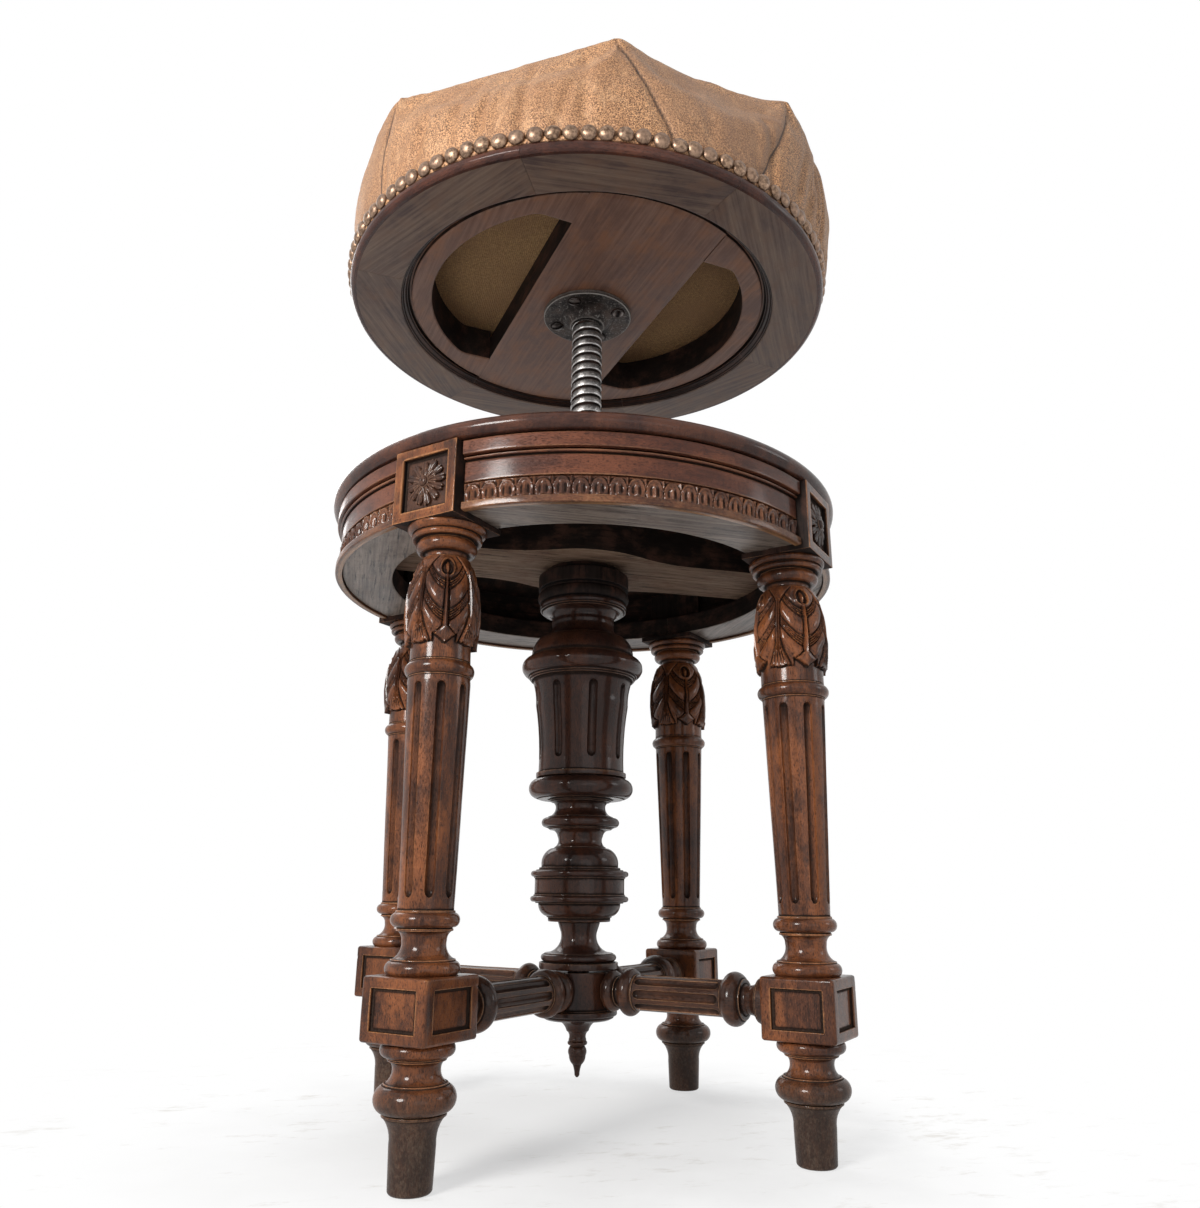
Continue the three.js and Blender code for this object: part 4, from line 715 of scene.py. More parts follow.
finial = Form()
drop = (
    Outline(0.7, 29.9).line(1.6, 1.2).round(2.9, 6.2, -0.3).round(5.4, 5.4, 0.7).round(4.6, 5.6, 1.0)
    .step(4.9).rise(0.5).step(5.5).bead(2.6, 0.9).step(5.7).rise(0.9)
    .round(7.2, 5, -1.0).round(14.6, 6.6, -1.5).rise(0.6)
)
finial.turned(drop.softened(0.3), 72, seed=12)
carried(finial.made("drop_finial", hub_wood, (90, 0, 0)), "stand", "mahogany", "finial")

# ------------------------------------------------------------
# Stretchers. Four turned and fluted rails of mahogany, dowelled into the hub and into the blocks of the
# legs: ball, ring, fluted length, larger ring and a bell that meets the block.
STRETCHER_HEIGHT = 82.5
stretcher = Form()
length = (
    Outline(6, 13).rise(9).step(9.2).rise(0.8).step(9.8).bead(7.6, 2.5).step(9).rise(0.8)
    .step(7.6).bead(3.2, -0.7).step(10).rise(0.8).step(10.8).bead(8.6, 3.4).step(11).rise(1.0).step(10.6)
)
flute_foot, flute_head = length.height + 1.2, 103.2
length.rise(104.2 - length.height).step(11.2).rise(0.9).step(11.6).bead(11.2, 3.8).step(11.6).rise(0.9)
length.step(9.2).round(8.2, 3, -0.6).round(12.4, 6.4, -1.3).rise(1.0).step(12.9).rise(134 - length.height).step(6)
stretcher_points = with_heights(length.softened(0.35), groove_heights(flute_foot, flute_head, 3.4, 2.7))
stretcher.turned(stretcher_points, shape=flutes(8, 2.7, 1.9, flute_foot, flute_head, 3.4), seed=14)
stretcher_wood = polished_wood(
    "polished mahogany of the stretchers", (0.016, 0.0075, 0.0055), (0.05, 0.021, 0.0125), (0.1, 0.038, 0.018),
    (0.36, 0.19, 0.1), gloss=0.36, dusty=0.12,
)
for i, (corner, turn) in enumerate(CORNERS.items()):
    rail = stretcher.made("stretcher_to_leg_" + corner, stretcher_wood, (207 * i, 23, 0))
    placed(rail, turn, height=STRETCHER_HEIGHT, tilt=QUARTER)
    carried(rail, "stand", "mahogany", "stretcher_" + corner)

# ------------------------------------------------------------
# Ring board. Four segments of plain sawn wood under the apron, never polished and grey-brown with age;
# the leg posts are let into it and the rails stand on it. Where no light reaches, the frame is painted near-black
# as shade.
RING_INSIDE, RING_OUTSIDE = 138, 172


def swept(form, section, start, stop, parts, seed=1, bent=False, around=False):
    """A section of radii and heights taken round the axis; the grain is straight, or bent with the curve."""
    turns = np.linspace(math.radians(start), math.radians(stop), parts + 1)[: parts if around else None]
    section = np.asarray(section, float)
    radii, heights = section.T
    rings = [np.outer(np.cos(turns), radii), np.outer(np.sin(turns), radii), np.outer(turns * 0 + 1, heights)]
    rings = np.stack(rings, -1)
    flat = rings.reshape(-1, 3)
    flat += 0.05 * waver(flat, 30, seed)[:, None] * [[0.5, 0.5, 1]]
    middle = math.radians((start + stop) / 2)
    along = -flat[:, 0] * math.sin(middle) + flat[:, 1] * math.cos(middle)
    across = flat[:, 0] * math.cos(middle) + flat[:, 1] * math.sin(middle)
    if bent:
        along, across = np.repeat(turns, len(section)) * 170, np.tile(radii, len(turns))
    grain = np.stack([along + 97 * seed, across + 31 * seed, flat[:, 2]], 1)
    if around:
        rings = np.concatenate([rings, rings[:1]])
        grain = np.concatenate([grain, grain[: len(section)] + ([2 * math.pi * 170, 0, 0] if bent else [0, 0, 0])])
    return form.skin(rings, caps=not around, grain=grain)


def closed_section(*places, edge=0.5):
    """A section whose corners are eased, with more points along its long sides, walked once round."""
    outline = Outline(*places[0])
    for place in places[1:]:
        outline.points.append(place)
    outline.points.append(places[0])
    outline.points.append(places[1])
    points = outline.softened(edge)
    first = np.flatnonzero(np.hypot(*(points - places[1]).T) < edge + 0.01)[0]
    points = points[first:-1]
    filled = [points[0]]
    for here, after in zip(points, points[1:]):
        gap = np.hypot(*(after - here))
        if gap > 3.5:
            for share in (1.2 / gap, 0.5, 1 - 1.2 / gap):
                filled.append(here + (after - here) * share)
        filled.append(after)
    return np.array(filled[:-1])


def raw_wood(name, deep, pale, streak, roughness=0.62, red=(0.1, 0.045, 0.03), sawn=1.0):
    """Wood that was never polished: long faint fibres, dark streaks, smudges, and grey dust."""
    finish = Finish(name)
    grain = finish.stored("grain", "Vector")
    wear, hollow = finish.stored("wear"), finish.stored("hollow")
    fibres = finish.noise(grain, 4, 0.6, 0.014, 0.42)
    streaks = finish.noise(grain, 5, 0.65, 0.03, 0.5)
    clouds = finish.noise(grain, 5, 0.6, 0.011, 0.022)
    smudges = finish.noise(grain, 5, 0.65, 0.045, 0.07)
    specks = finish.noise(grain, 4, 0.7, 0.4, 0.8)
    tone = fibres * 0.4 + clouds * 0.35 + smudges * 0.25
    colour = finish.mix(tone.between(0.34, 0.66), deep, pale)
    colour = finish.mix(smudges.between(0.44, 0.74) * 0.7, colour, red)
    colour = finish.mix((streaks + specks * 0.2).between(0.6, 0.78) * 0.7 * sawn, colour, streak)
    colour = finish.mix((clouds * 0.6 + smudges * 0.4).between(0.44, 0.8) * 0.5, colour, tint(streak, 1.6))
    colour = finish.mix((specks * 0.7 + fibres * 0.3).between(0.56, 0.72) * 0.35, colour, tint(pale, 1.5))
    colour = finish.mix((wear + specks * 0.4).between(0.45, 1.1) * 0.6, colour, tint(pale, 1.7))
    # painted shade and dirt: the hollows are darkened towards the streak colour, for the shade in recesses as well
    # as for dirt
    colour = finish.mix((hollow * 1.3 + specks * 0.2).between(0.16, 0.7) * 0.9, colour, tint(streak, 0.4))
    relief = fibres * 0.4 * sawn - streaks.between(0.6, 0.75) * 0.8 * sawn + specks * 0.4
    rough = specks * 0.2 + smudges * 0.15 + roughness - 0.12
    normal = finish.bump(relief, 0.25, 0.8)
    sheen = 0.4 if roughness < 0.5 else 0.1
    return finish.paint(Base_Color=colour, Roughness=rough, Normal=normal, Specular_IOR_Level=sheen)


board_wood = raw_wood(
    "sawn wood of the ring board", (0.06, 0.041, 0.033), (0.29, 0.235, 0.195), (0.008, 0.005, 0.004),
    roughness=0.38, red=(0.085, 0.045, 0.03), sawn=1.4,
)
ring_board = Form()
corners = [(RING_INSIDE, 354), (RING_OUTSIDE, 354), (RING_OUTSIDE, 369.7), (RING_INSIDE, 369.7)]
board_section = closed_section(*corners, edge=0.6)
for i in range(4):
    swept(ring_board, board_section, -44.97 + 90 * i, 44.97 + 90 * i, 40, seed=21 + i)
ring_board_piece = carried(ring_board.made("ring_board", board_wood), "stand", "raw_wood", "ring_board")

# ------------------------------------------------------------
# Apron rails. Four curved mahogany rails between the posts: a broad frieze, a bead between two grooves
# and a fascia, polished, redder than the legs and rubbed on the arrises.
SIDES = ["right", "back", "left", "front"]
RAIL_END = 36.9
rail_wood = polished_wood(
    "polished mahogany of the apron", (0.036, 0.0125, 0.0085), (0.1, 0.033, 0.019), (0.15, 0.05, 0.025),
    (0.36, 0.17, 0.085), rubbed=0.8, gloss=0.33, dusty=0.06,
)
# painted shade: a near-black finish laid on faces inside the frame, under boards and on hidden sides, where shade
# falls; in screw slots and thread grooves it stands for grease
shade_and_grease_black = raw_wood(
    "black of painted shade and of grease", (0.009, 0.006, 0.005), (0.021, 0.014, 0.0115), (0.006, 0.004, 0.004),
)


def shaded_post_side(at, up):
    """The sides of a post that stand between the rails, look inwards or lie on the capital, where shade is painted
    near-black.
    """
    return at.z > 349 and (at.x < 22.4 and abs(up.y) > 0.7 or up.x < -0.7 or up.z < -0.8 and at.z < 351)


# painted shade: the hidden sides of the posts, the inner wall of the ring board and its top under the rails are
# made near-black
for leg in turned_legs:
    lined(leg, shade_and_grease_black, shaded_post_side)
lined(ring_board_piece, shade_and_grease_black, lambda at, up: at.xy.length < RING_INSIDE + 0.3 and at.z > 354.8 or up.z > 0.7)
rail_section = closed_section(
    (158.4, 370), (174.4, 370), (174.4, 382.0), (174.1, 382.6), (173.2, 382.6), (173.2, 383.7), (175.4, 383.7),
    (176, 384.2), (176, 384.8), (175.4, 385.2), (173.2, 385.2), (173.2, 386.2), (177.6, 386.2), (178, 386.6),
    (178, 394.6), (177.4, 395.2), (175.8, 395.2), (175.8, FRAME_TOP), (158.4, FRAME_TOP), edge=0.3,
)
for i, side in enumerate(SIDES):
    rail = Form()
    swept(rail, rail_section, 90 * i - RAIL_END, 90 * i + RAIL_END, 64, seed=31 + i, bent=True)
    rail = rail.made("apron_rail_on_the_" + side, rail_wood)
    # painted shade: the inner faces of the rail, inside the frame, are made near-black
    lined(rail, shade_and_grease_black, lambda at, up: at.xy.length < RING_OUTSIDE)
    carried(rail, "stand", "mahogany", "apron_rail_" + side)

# ------------------------------------------------------------
# Leaf bands. A plain lip with a carved row of bent leaves over it, planted round the edge of the ring
# board under each rail: 21 leaves in each quarter, with a dart between every two.
LEAVES, LEAF_FOOT, LEAF_TOP = 21, 357, 369.6
LEAF_GROUND, LEAF_BACK = 172.9, 172.0
leaf_wood = polished_wood(
    "carved mahogany of the leaf bands", (0.03, 0.012, 0.008), (0.095, 0.036, 0.02), (0.16, 0.06, 0.028),
    (0.42, 0.22, 0.105), rubbed=1.0, gloss=0.36, dusty=0.1,
)


def leaf_band_form(middle, seed):
    form = Form()
    lip = [(172.3, 352.2), (176.4, 352.2), (177, 352.8), (177, 356.4), (176.3, 357), (172.3, 357)]
    swept(form, closed_section(*lip, edge=0.3), middle - RAIL_END, middle + RAIL_END, 64, seed=seed, bent=True)
    rise = np.linspace(0, 1, 29)
    turns = np.linspace(-RAIL_END, RAIL_END, LEAVES * 20 + 1)
    across = 2 * ((turns / RAIL_END / 2 * LEAVES + 0.5) % 1 - 0.5)
    dice = np.random.default_rng(seed)
    sizes = np.repeat(dice.uniform(0.9, 1.05, LEAVES + 1), 20)[: len(turns)]
    rings = []
    for turn, x, size in zip(turns, across, sizes):
        x, y = abs(x), rise
        arch = 0.97 * size * (1 - (0.95 * x) ** 2.4) ** 0.5 if x < 1 else 0.0
        depth_in = np.clip((arch - y) / 0.1, 0, 1)
        body = 2.0 * np.sqrt(np.clip(1 - x**2.2, 0, 1)) * (0.62 + 0.38 * np.cos(1.4 * y)) * depth_in**0.5
        rolled = 0.75 * np.exp(-(((arch - y - 0.09) / 0.085) ** 2)) * (y < arch)
        cup = 1.15 * np.exp(-(((x - 0.4) / 0.2) ** 2)) * np.clip((0.72 * arch - y) * 5, 0, 1)
        cup *= np.clip(0.2 + 3 * y, 0, 1)
        rib = 0.55 * np.exp(-((x / 0.12) ** 2)) * np.clip((0.8 - y) * 4, 0, 1)
        dart = 1.5 * np.exp(-(((1 - x) / 0.17) ** 2)) * (1 - depth_in) * np.clip((y - 0.42) * 5, 0, 1)
        relief = body + rolled - cup + rib + dart
        radius = LEAF_GROUND + relief * np.clip((1 - y) / 0.05, 0, 1) * (0.55 + 0.45 * np.clip(y / 0.08, 0, 1))
        angle = math.radians(middle + turn)
        face = ring_at(angle * np.ones(29), radius, LEAF_FOOT + (LEAF_TOP - LEAF_FOOT) * y)
        back = ring_at(angle * np.ones(2), LEAF_BACK, np.array([LEAF_TOP, LEAF_FOOT]))
        rings.append(np.vstack([face, back]))
    rings = np.array(rings)
    flat = rings.reshape(-1, 3)
    grain = np.stack([np.arctan2(flat[:, 1], flat[:, 0]) * 174, np.hypot(*flat.T[:2]), flat[:, 2]], 1)
    return form.skin(rings, grain=grain)


for i, side in enumerate(SIDES):
    band = leaf_band_form(90 * i, 41 + i)
    carried(band.made("leaf_band_on_the_" + side, leaf_wood, sharp=60), "stand", "mahogany", "leaf_band_" + side)

# ------------------------------------------------------------
# Top board. A round board of mahogany with a half-round rim that overhangs the apron, bored in the
# middle for the iron nut.
top_wood = polished_wood(
    "polished mahogany of the top board", (0.02, 0.008, 0.0065), (0.058, 0.022, 0.015), (0.1, 0.036, 0.02),
    (0.3, 0.14, 0.07), rubbed=0.7, gloss=0.3, dusty=0.08,
)
top_board = Form()
rim = Outline(176.2, 396.5).step(177.6).bead(10.9, 4.4).step(177.0).rise(0.5).round(171, 1.1, 0.3)
top_section = [(20.2, 396.5), (60, 396.5), (120, 396.5), *rim.softened(0.3)]
top_section += [(r, 409) for r in (150, 110, 70, 40, 33, 31.4)]
top_section += [(31.3, 408.7), (31.3, 405.4), (20.2, 405.4)]
swept(top_board, top_section, 0, 360, 160, seed=51, around=True)
# painted shade: the underside of the board inside the rim is made near-black
top = lined(top_board.made("top_board", top_wood), shade_and_grease_black, lambda at, up: at.z < 397 and at.xy.length < 176)
carried(top, "stand", "mahogany", "top_board")

# ------------------------------------------------------------
# Cross bar. A plain sawn bar between the left and right rails, wide and round in the middle, bored for
# the screw and its nut; the column is glued under it.
BORE, NUT_HOLE = 12.9, 19.9


def slab(form, edge_of, hole, low, high, step):
    """A board whose edge lies at a distance given for each direction, its bore stepped wider above."""
    around = np.arange(480) * math.pi / 240
    edge = np.array([edge_of(a) for a in around])
    rings = []
    ease = np.array([(0.5, 0), (0.15, 0.05), (0, 0.2), (0, 0.5)])
    rows = [(0, low, 0), (0.5, low, 0)] + [(1, low + up, -back) for back, up in ease]
    rows += [(1, (low + high) / 2, 0)] + [(1, high - up, -back) for back, up in ease[::-1]]
    rows += [(0.5, high, 0), (0, high, step[0]), (0, step[1], step[0]), (0, step[1], 0)]
    for share, height, shift in rows:
        radii = hole + (edge - hole) * share + shift
        rings.append(ring_at(around, radii, height))
    rings.append(rings[0])
    rings = np.array(rings)
    rings += 0.08 * waver(rings.reshape(-1, 3), 40, 1).reshape(*rings.shape[:2], 1)
    return form.skin(rings, caps=False, grain=rings.reshape(-1, 3) + [57, 0, 0])


def bar_edge(angle):
    """A bar of even width whose sides swell in one smooth belly round the bore."""
    c, s = abs(math.cos(angle)), abs(math.sin(angle))
    places = np.linspace(1, 164, 4000)
    x, y = places * c, places * s
    half = 32 + 18 * np.exp(-((x / 40) ** 2.4))
    return places[(y <= half) & (x <= 157.2)].max()


bar_wood = raw_wood(
    "sawn wood of the cross bar", (0.085, 0.05, 0.032), (0.27, 0.185, 0.13), (0.014, 0.009, 0.007), sawn=1.5,
)
cross_bar = Form()
slab(cross_bar, bar_edge, hole=BORE, low=370, high=FRAME_TOP, step=(NUT_HOLE - BORE, 377.4))
# painted shade: the upright sides of the bar are made near-black
bar = lined(cross_bar.made("cross_bar", bar_wood), shade_and_grease_black, lambda at, up: abs(up.z) < 0.5)
carried(bar, "stand", "raw_wood", "cross_bar")

# ------------------------------------------------------------
# Column. Turned from one thick piece of mahogany, fluted round its body and bored from above, so that the
# screw sinks into it as the seat goes down. It stands in the hub and is glued under the cross bar.
column = (
    Outline(7, 84.2).rise(10.8).step(25.6).line(26, 0.5).rise(3.5).step(22.6).rise(0.7)
    .step(23.0).bead(4.4, 1.9).step(22.6).rise(0.6).step(21.6).round(11.9, 12.5, -3.6)
    .line(13.9, 6).rise(1).step(20.4).line(20.8, 0.4).rise(2.2).step(21.8).rise(0.8)
    .step(22.4).round(27.5, 8.2, 1.6).step(29.6).rise(0.8).step(31).bead(3.8, 2).step(30.9).rise(0.9)
    .step(30.2).rise(10.5).step(30.9).rise(0.9).step(31).bead(3.8, 2).step(29.6).rise(0.8)
    .step(27.5).rise(1.5).step(26).rise(1.0).round(19.8, 11.5, 2.2).step(17.6).rise(0.9)
    .step(17.2).round(15.5, 7.1, -1.4).round(20.6, 4.4, -1.3).step(21.4).rise(0.8).step(22.4).rise(0.8)
    .step(23.8).bead(6.2, 2.8).step(22.4).rise(0.8).round(17.1, 6.7, -1.6)
    .round(19.6, 3.2, -0.6).step(20.6).rise(0.9).step(21.6).rise(0.9).step(29.4).rise(0.5)
    .step(30).bead(13.4, 6).step(29.4).rise(0.6).step(31).line(31.3, 0.5).rise(2.4)
)
column.rise(221.8 - column.height).step(29.7).rise(1)
COLUMN_FLUTES = 230.4, 282.6
column.round(32.6, 46, -1.2).round(35.6, 287.2 - column.height, -0.9)
column.step(37.2).rise(1.3).step(38.2).rise(1.6).step(39.2).bead(12.6, 4).step(37.4).rise(0.9)
column.step(36.6).round(31.6, 317.2 - column.height, 1.6).step(29.6).rise(0.9).step(28.6)
column.round(22.6, 11.2, -2.6).rise(1).round(28.6, 7.2, -2.2).step(29.6).rise(338.7 - column.height)
column.step(31.2).rise(1).bead(4.4, 0.7).step(31.2).bead(8.4, 2.1).step(31.6).rise(354.7 - column.height)
column.step(33).rise(9.9).step(27.3).rise(5.1).step(BORE).rise(-179.9).step(1)
column_points = with_heights(column.softened(0.4), groove_heights(*COLUMN_FLUTES, 3.6, 3.1))
column_form = Form()
fluting = flutes(8, 3.1, 2.5, *COLUMN_FLUTES, 3.6)
column_form.turned(column_points, shape=lambda z, r: fluting(z if r > BORE + 0.2 else 0, max(r, 1.0)), seed=61)
turned_column = column_form.made("turned_column", hub_wood, (133, 20, 0))
# painted shade: the top of the column above 342 mm, in the shade of the frame, is made near-black
lined(turned_column, shade_and_grease_black, lambda at, up: at.z > 342)
carried(turned_column, "stand", "mahogany", "column")

# ------------------------------------------------------------
# Nut of the lead screw. Cast iron, dark and greasy: a threaded barrel let into the cross bar, its round
# flange flush in the top board and held by four countersunk screws.
PITCH, THREAD_RADIUS, THREAD_DEPTH = 7.3, 12.0, 1.6
NUT_LOW, NUT_TOP = 377.8, 408.9
NUT_SCREW_CIRCLE = 25.2


def worn_iron(name, deep, body, bright, roughness=0.42, cast=0.3):
    """Old iron: dark where grease and rust stay, brighter where it is handled or rubs."""
    grease, rust = (0.018, 0.013, 0.011), (0.075, 0.04, 0.026)
    finish = Finish(name)
    grain = finish.stored("grain", "Vector")
    wear, hollow = finish.stored("wear"), finish.stored("hollow")
    clouds = finish.noise(grain, 4, 0.6, 0.09)
    pits = finish.noise(grain, 4, 0.65, 0.55)
    scratches = finish.noise(grain, 3, 0.6, 0.12, 2.4, 2.4)
    colour = finish.mix(clouds.between(0.36, 0.62), deep, body)
    colour = finish.mix(pits.between(0.52, 0.7) * 0.7, colour, bright)
    colour = finish.mix((wear * 1.6 + scratches * 0.5 - 0.25).between(0.1, 0.8), colour, tint(bright, 1.25))
    darkened_hollows = (hollow * 1.3 + pits * 0.25 - 0.1).between(0.08, 0.6)
    colour = finish.mix(darkened_hollows * 0.9, colour, grease)
    colour = finish.mix((clouds - pits * 0.3).between(0.38, 0.5) * 0.35, colour, rust)
    metallic = 0.92 - darkened_hollows * 0.6
    rough = pits * 0.3 + roughness - 0.12 + darkened_hollows * 0.3 + scratches * 0.12
    normal = finish.bump(pits * 0.7 + scratches * 0.4, cast, 0.8)
    return finish.paint(Base_Color=colour, Metallic=metallic, Roughness=rough, Normal=normal)


def thread(form, low, high, root, crest, crest_width, chamfer=1.2, seed=71):
    """A right-hand thread: one profile swept round and up, fading out at both ends."""
    half, slope = crest_width / 2, 0.55
    steps = np.array([-half, -half + 0.35, -half * 0.45, half * 0.45, half - 0.35, half])
    steps = np.concatenate([steps, [half + slope, PITCH / 2, PITCH - half - slope]])
    rises = np.array([0.72, 0.93, 1.0, 1.0, 0.93, 0.72, 0.0, -0.04, 0.0])
    turns = math.ceil((high - low) / PITCH) + 2
    rows, levels = [], []
    angles = np.linspace(0, 2 * math.pi, 49)
    for turn in range(-1, turns):
        for step, rise in zip(steps, rises):
            height = low + turn * PITCH + step + PITCH * angles / (2 * math.pi)
            kept = np.clip(height, low, high)
            fade = np.clip(np.minimum(kept - low, high - kept) / chamfer, 0, 1)
            radii = root + (crest - root) * rise * fade
            rows.append(ring_at(angles, radii, kept))
            levels.append(height)
    rows = np.array(rows)
    keep = [i for i, level in enumerate(levels) if level.max() > low and level.min() < high]
    rows = rows[keep[0] : keep[-1] + 1]
    rows += 0.05 * waver(rows.reshape(-1, 3), 9, seed).reshape(*rows.shape[:2], 1) * [1, 1, 0]
    rows[:, -1] = np.array([row[0] for row in rows[len(steps):]] + [rows[-1, -1]] * len(steps))
    grain = np.stack([np.tile(angles * 12, len(rows)), rows.reshape(-1, 3)[:, 2], rows.reshape(-1, 3)[:, 0]], 1)
    return form.skin(rows, caps=False, grain=grain, round_again=False)


def screw_head(form, place, radius, dome, height, slot_turn, down=False):
    """A round screw head with a sawn slot."""
    slot = 1.0
    marks = np.array([-1, -0.96, -0.86, -0.7, -0.5, -0.3]) * radius
    marks = np.concatenate([marks, [-slot - 0.06, -slot, slot, slot + 0.06], -marks[::-1]])
    shares = np.sin(np.linspace(-1, 1, 17) * QUARTER)
    turn = Matrix.Rotation(slot_turn, 3, "Z")
    rows = []
    for x in marks:
        reach = math.sqrt(max(radius**2 - x**2, 0.0004))
        y = shares * reach
        rise = height + dome * (1 - (x**2 + y**2) / radius**2) - (1.0 if abs(x) < slot + 0.01 else 0)
        rows.append(np.stack([0 * y + x, y, rise], 1))
    top = np.array(rows)
    low = top.copy()
    low[..., 2] = 0
    strip = len(shares) - 1
    form.slots += [len(form.faces) + strip * row + step for row in (6, 7, 8) for step in range(strip)]
    for side, flip in ((top, False), (low, True)):
        wide = side.shape[1]
        index = np.arange(side.shape[0] * wide).reshape(side.shape[:2])
        faces = np.stack([index[:-1, :-1], index[1:, :-1], index[1:, 1:], index[:-1, 1:]], -1).reshape(-1, 4)
        spots = side.reshape(-1, 3) @ np.array(turn).T
        if down:
            spots = spots * [1, 1, -1]
        form.add(spots + place, (faces[:, ::-1] if flip != down else faces).tolist())
    rim = np.concatenate([[0.0], np.linspace(0, 2 * math.pi, 40)])
    ring = np.stack([radius * np.cos(rim), radius * np.sin(rim)], 1)
    levels = ((1.25, 0.08), (1.0, 0.12), (1.0, height * 0.5), (1.0, height))
    rings = np.array([np.column_stack([ring * wide, 0 * rim + h * (-1 if down else 1)]) for wide, h in levels])
    form.slots += [len(form.faces) + step for step in range(len(rim))]
    return form.skin(rings + place, caps=False)


def with_dark_slots(heads, slots):
    """Grease and soot fill the slots of the screws."""
    heads.data.materials.append(shade_and_grease_black)
    for face in slots:
        heads.data.polygons[face].material_index = 1
    return heads


nut_iron = worn_iron("cast iron of the nut", (0.05, 0.046, 0.046), (0.12, 0.11, 0.11), (0.3, 0.28, 0.27))
nut = Form()
barrel = Outline(13.9, NUT_LOW).step(19.5).rise(405.6 - NUT_LOW).step(30.8).rise(3.3).step(13.9)
nut.turned(barrel.softened(0.4), seed=70, caps=False)
thread(nut, NUT_LOW, NUT_TOP, root=13.9, crest=THREAD_RADIUS - THREAD_DEPTH + 0.6, crest_width=1.5, seed=72)
carried(nut.made("screw_nut", nut_iron), "stand", "dark_iron", "screw_nut")
nut_screws = Form()
for i in range(4):
    spot = ring_at(i * QUARTER * np.ones(1), NUT_SCREW_CIRCLE, 407)[0]
    screw_head(nut_screws, spot, radius=3.6, dome=0.15, height=1.95, slot_turn=0.4 + 1.1 * i)
nut_heads = with_dark_slots(nut_screws.made("screws_of_the_nut", nut_iron, sharp=30), nut_screws.slots)
carried(nut_heads, "stand", "dark_iron", *["nut_screw_" + side for side in SIDES])

# ------------------------------------------------------------
# Seat ring. Segments of beech glued into a ring, turned and stained: a rounded lip, polished dark, a flat
# band underneath, a moulded step, and a thinner board inside with two D-shaped openings under the springs.
SEAT_TURN = 99
PLANK_HALF = 52.5
DEE_RADIUS, DEE_END, DEE_CORNER = 124, 97, 14


def turned_by(form, degrees):
    """Turns the islands of a form about the axis, leaving their grain as it is."""
    turn = np.array(Matrix.Rotation(math.radians(degrees), 3, "Z"))
    form.places = [places @ turn.T for places in form.places]
    return form


seat_wood = raw_wood(
    "stained wood of the seat ring", (0.05, 0.027, 0.025), (0.225, 0.15, 0.105), (0.026, 0.014, 0.015),
    roughness=0.45, red=(0.15, 0.076, 0.046), sawn=0.4,
)
lip_wood = polished_wood(
    "polished lip of the seat ring", (0.02, 0.007, 0.0055), (0.062, 0.021, 0.014), (0.11, 0.036, 0.02),
    (0.3, 0.14, 0.07), rubbed=0.7, gloss=0.28,
)
seat_ring = Form()
lip_section = closed_section(
    (148.2, 585), (183.4, 585), (184.9, 586), (185.8, 587.6), (186, 589), (185.7, 590.8), (184.6, 592.6),
    (183.6, 593), (181.2, 593), (181.2, 620), (141, 620), (141, 593.2), (142.4, 593.2), (142.6, 590.6),
    (143.4, 590.1), (143.9, 589), (144.8, 588), (145.9, 587.5), (146.4, 586.6), (147.2, 586.2), (147.6, 585.3),
    edge=0.25,
)
RING_JOINTS = [-71, 9, 63, 121, 186, 243, 289]
for i, (start, stop) in enumerate(zip(RING_JOINTS, RING_JOINTS[1:])):
    swept(seat_ring, lip_section, start + 0.035, stop - 0.035, 40, seed=81 + i)
ring = seat_ring.made("seat_ring", seat_wood)
# painted shade: the moulded step and groove inside the lip take the dark hub finish as a band of shade
lined(ring, hub_wood, lambda at, up: at.xy.length < 147.3 and 585.2 < at.z < 594)
lined(ring, lip_wood, lambda at, up: at.xy.length > 181.6)
carried(ring, "seat", "raw_wood")

inner_wood = raw_wood(
    "reddish wood of the seat board", (0.105, 0.047, 0.032), (0.24, 0.13, 0.088), (0.038, 0.02, 0.015),
    roughness=0.45, red=(0.26, 0.105, 0.046), sawn=0.5,
)
corner_x = DEE_END - DEE_CORNER
corner_y = math.sqrt((DEE_RADIUS - DEE_CORNER) ** 2 - corner_x**2)
meet = math.atan2(corner_y, corner_x)
end_side = [(DEE_END, PLANK_HALF + up) for up in (0, 1, 10)]
corner_arc = ring_at(np.linspace(0, meet, 10), DEE_CORNER, 0)[:, :2] + [corner_x, corner_y]
corner_side = np.vstack([end_side, corner_arc])[:-1]
big_arc = ring_at(np.linspace(meet, math.pi - meet, 60), DEE_RADIUS, 0)[:, :2]
dee = np.vstack([corner_side, big_arc, corner_side[::-1] * [-1, 1]])
BOARD_RADIUS = 141
board_start = math.asin(PLANK_HALF / BOARD_RADIUS)
outside = ring_at(np.linspace(board_start, math.pi - board_start, len(dee)), BOARD_RADIUS, 0)[:, :2]
BOARD_SECTION = [  # share of the way from the opening to the outside, shift along it, height
    (0, 0, 591), (0, 0.2, 590.4), (0, 0.5, 590.1), (0, 1.5, 590), (0.5, 0, 590), (1, -3.2, 590), (1, -2, 590.2),
    (1, -1.4, 590.8), (1, -0.9, 593), (1, 0, 593), (1, 0, 619), (0.5, 0, 619), (0, 1.5, 619), (0, 0, 618),
    (0, 0, 605),
]
seat_board = Form()
for sign in (1, -1):
    rings = []
    for a, b in zip(dee, outside):
        way = b - a
        unit = way / np.linalg.norm(way)
        rings.append([[*(a + way * share + unit * shift), height] for share, shift, height in BOARD_SECTION])
    rings = np.array(rings) * [1, sign, 1]
    seat_board.skin(rings, grain=rings.reshape(-1, 3) + [0, 90 * sign, 0])
seat_board = turned_by(seat_board, SEAT_TURN).made("seat_board", inner_wood)
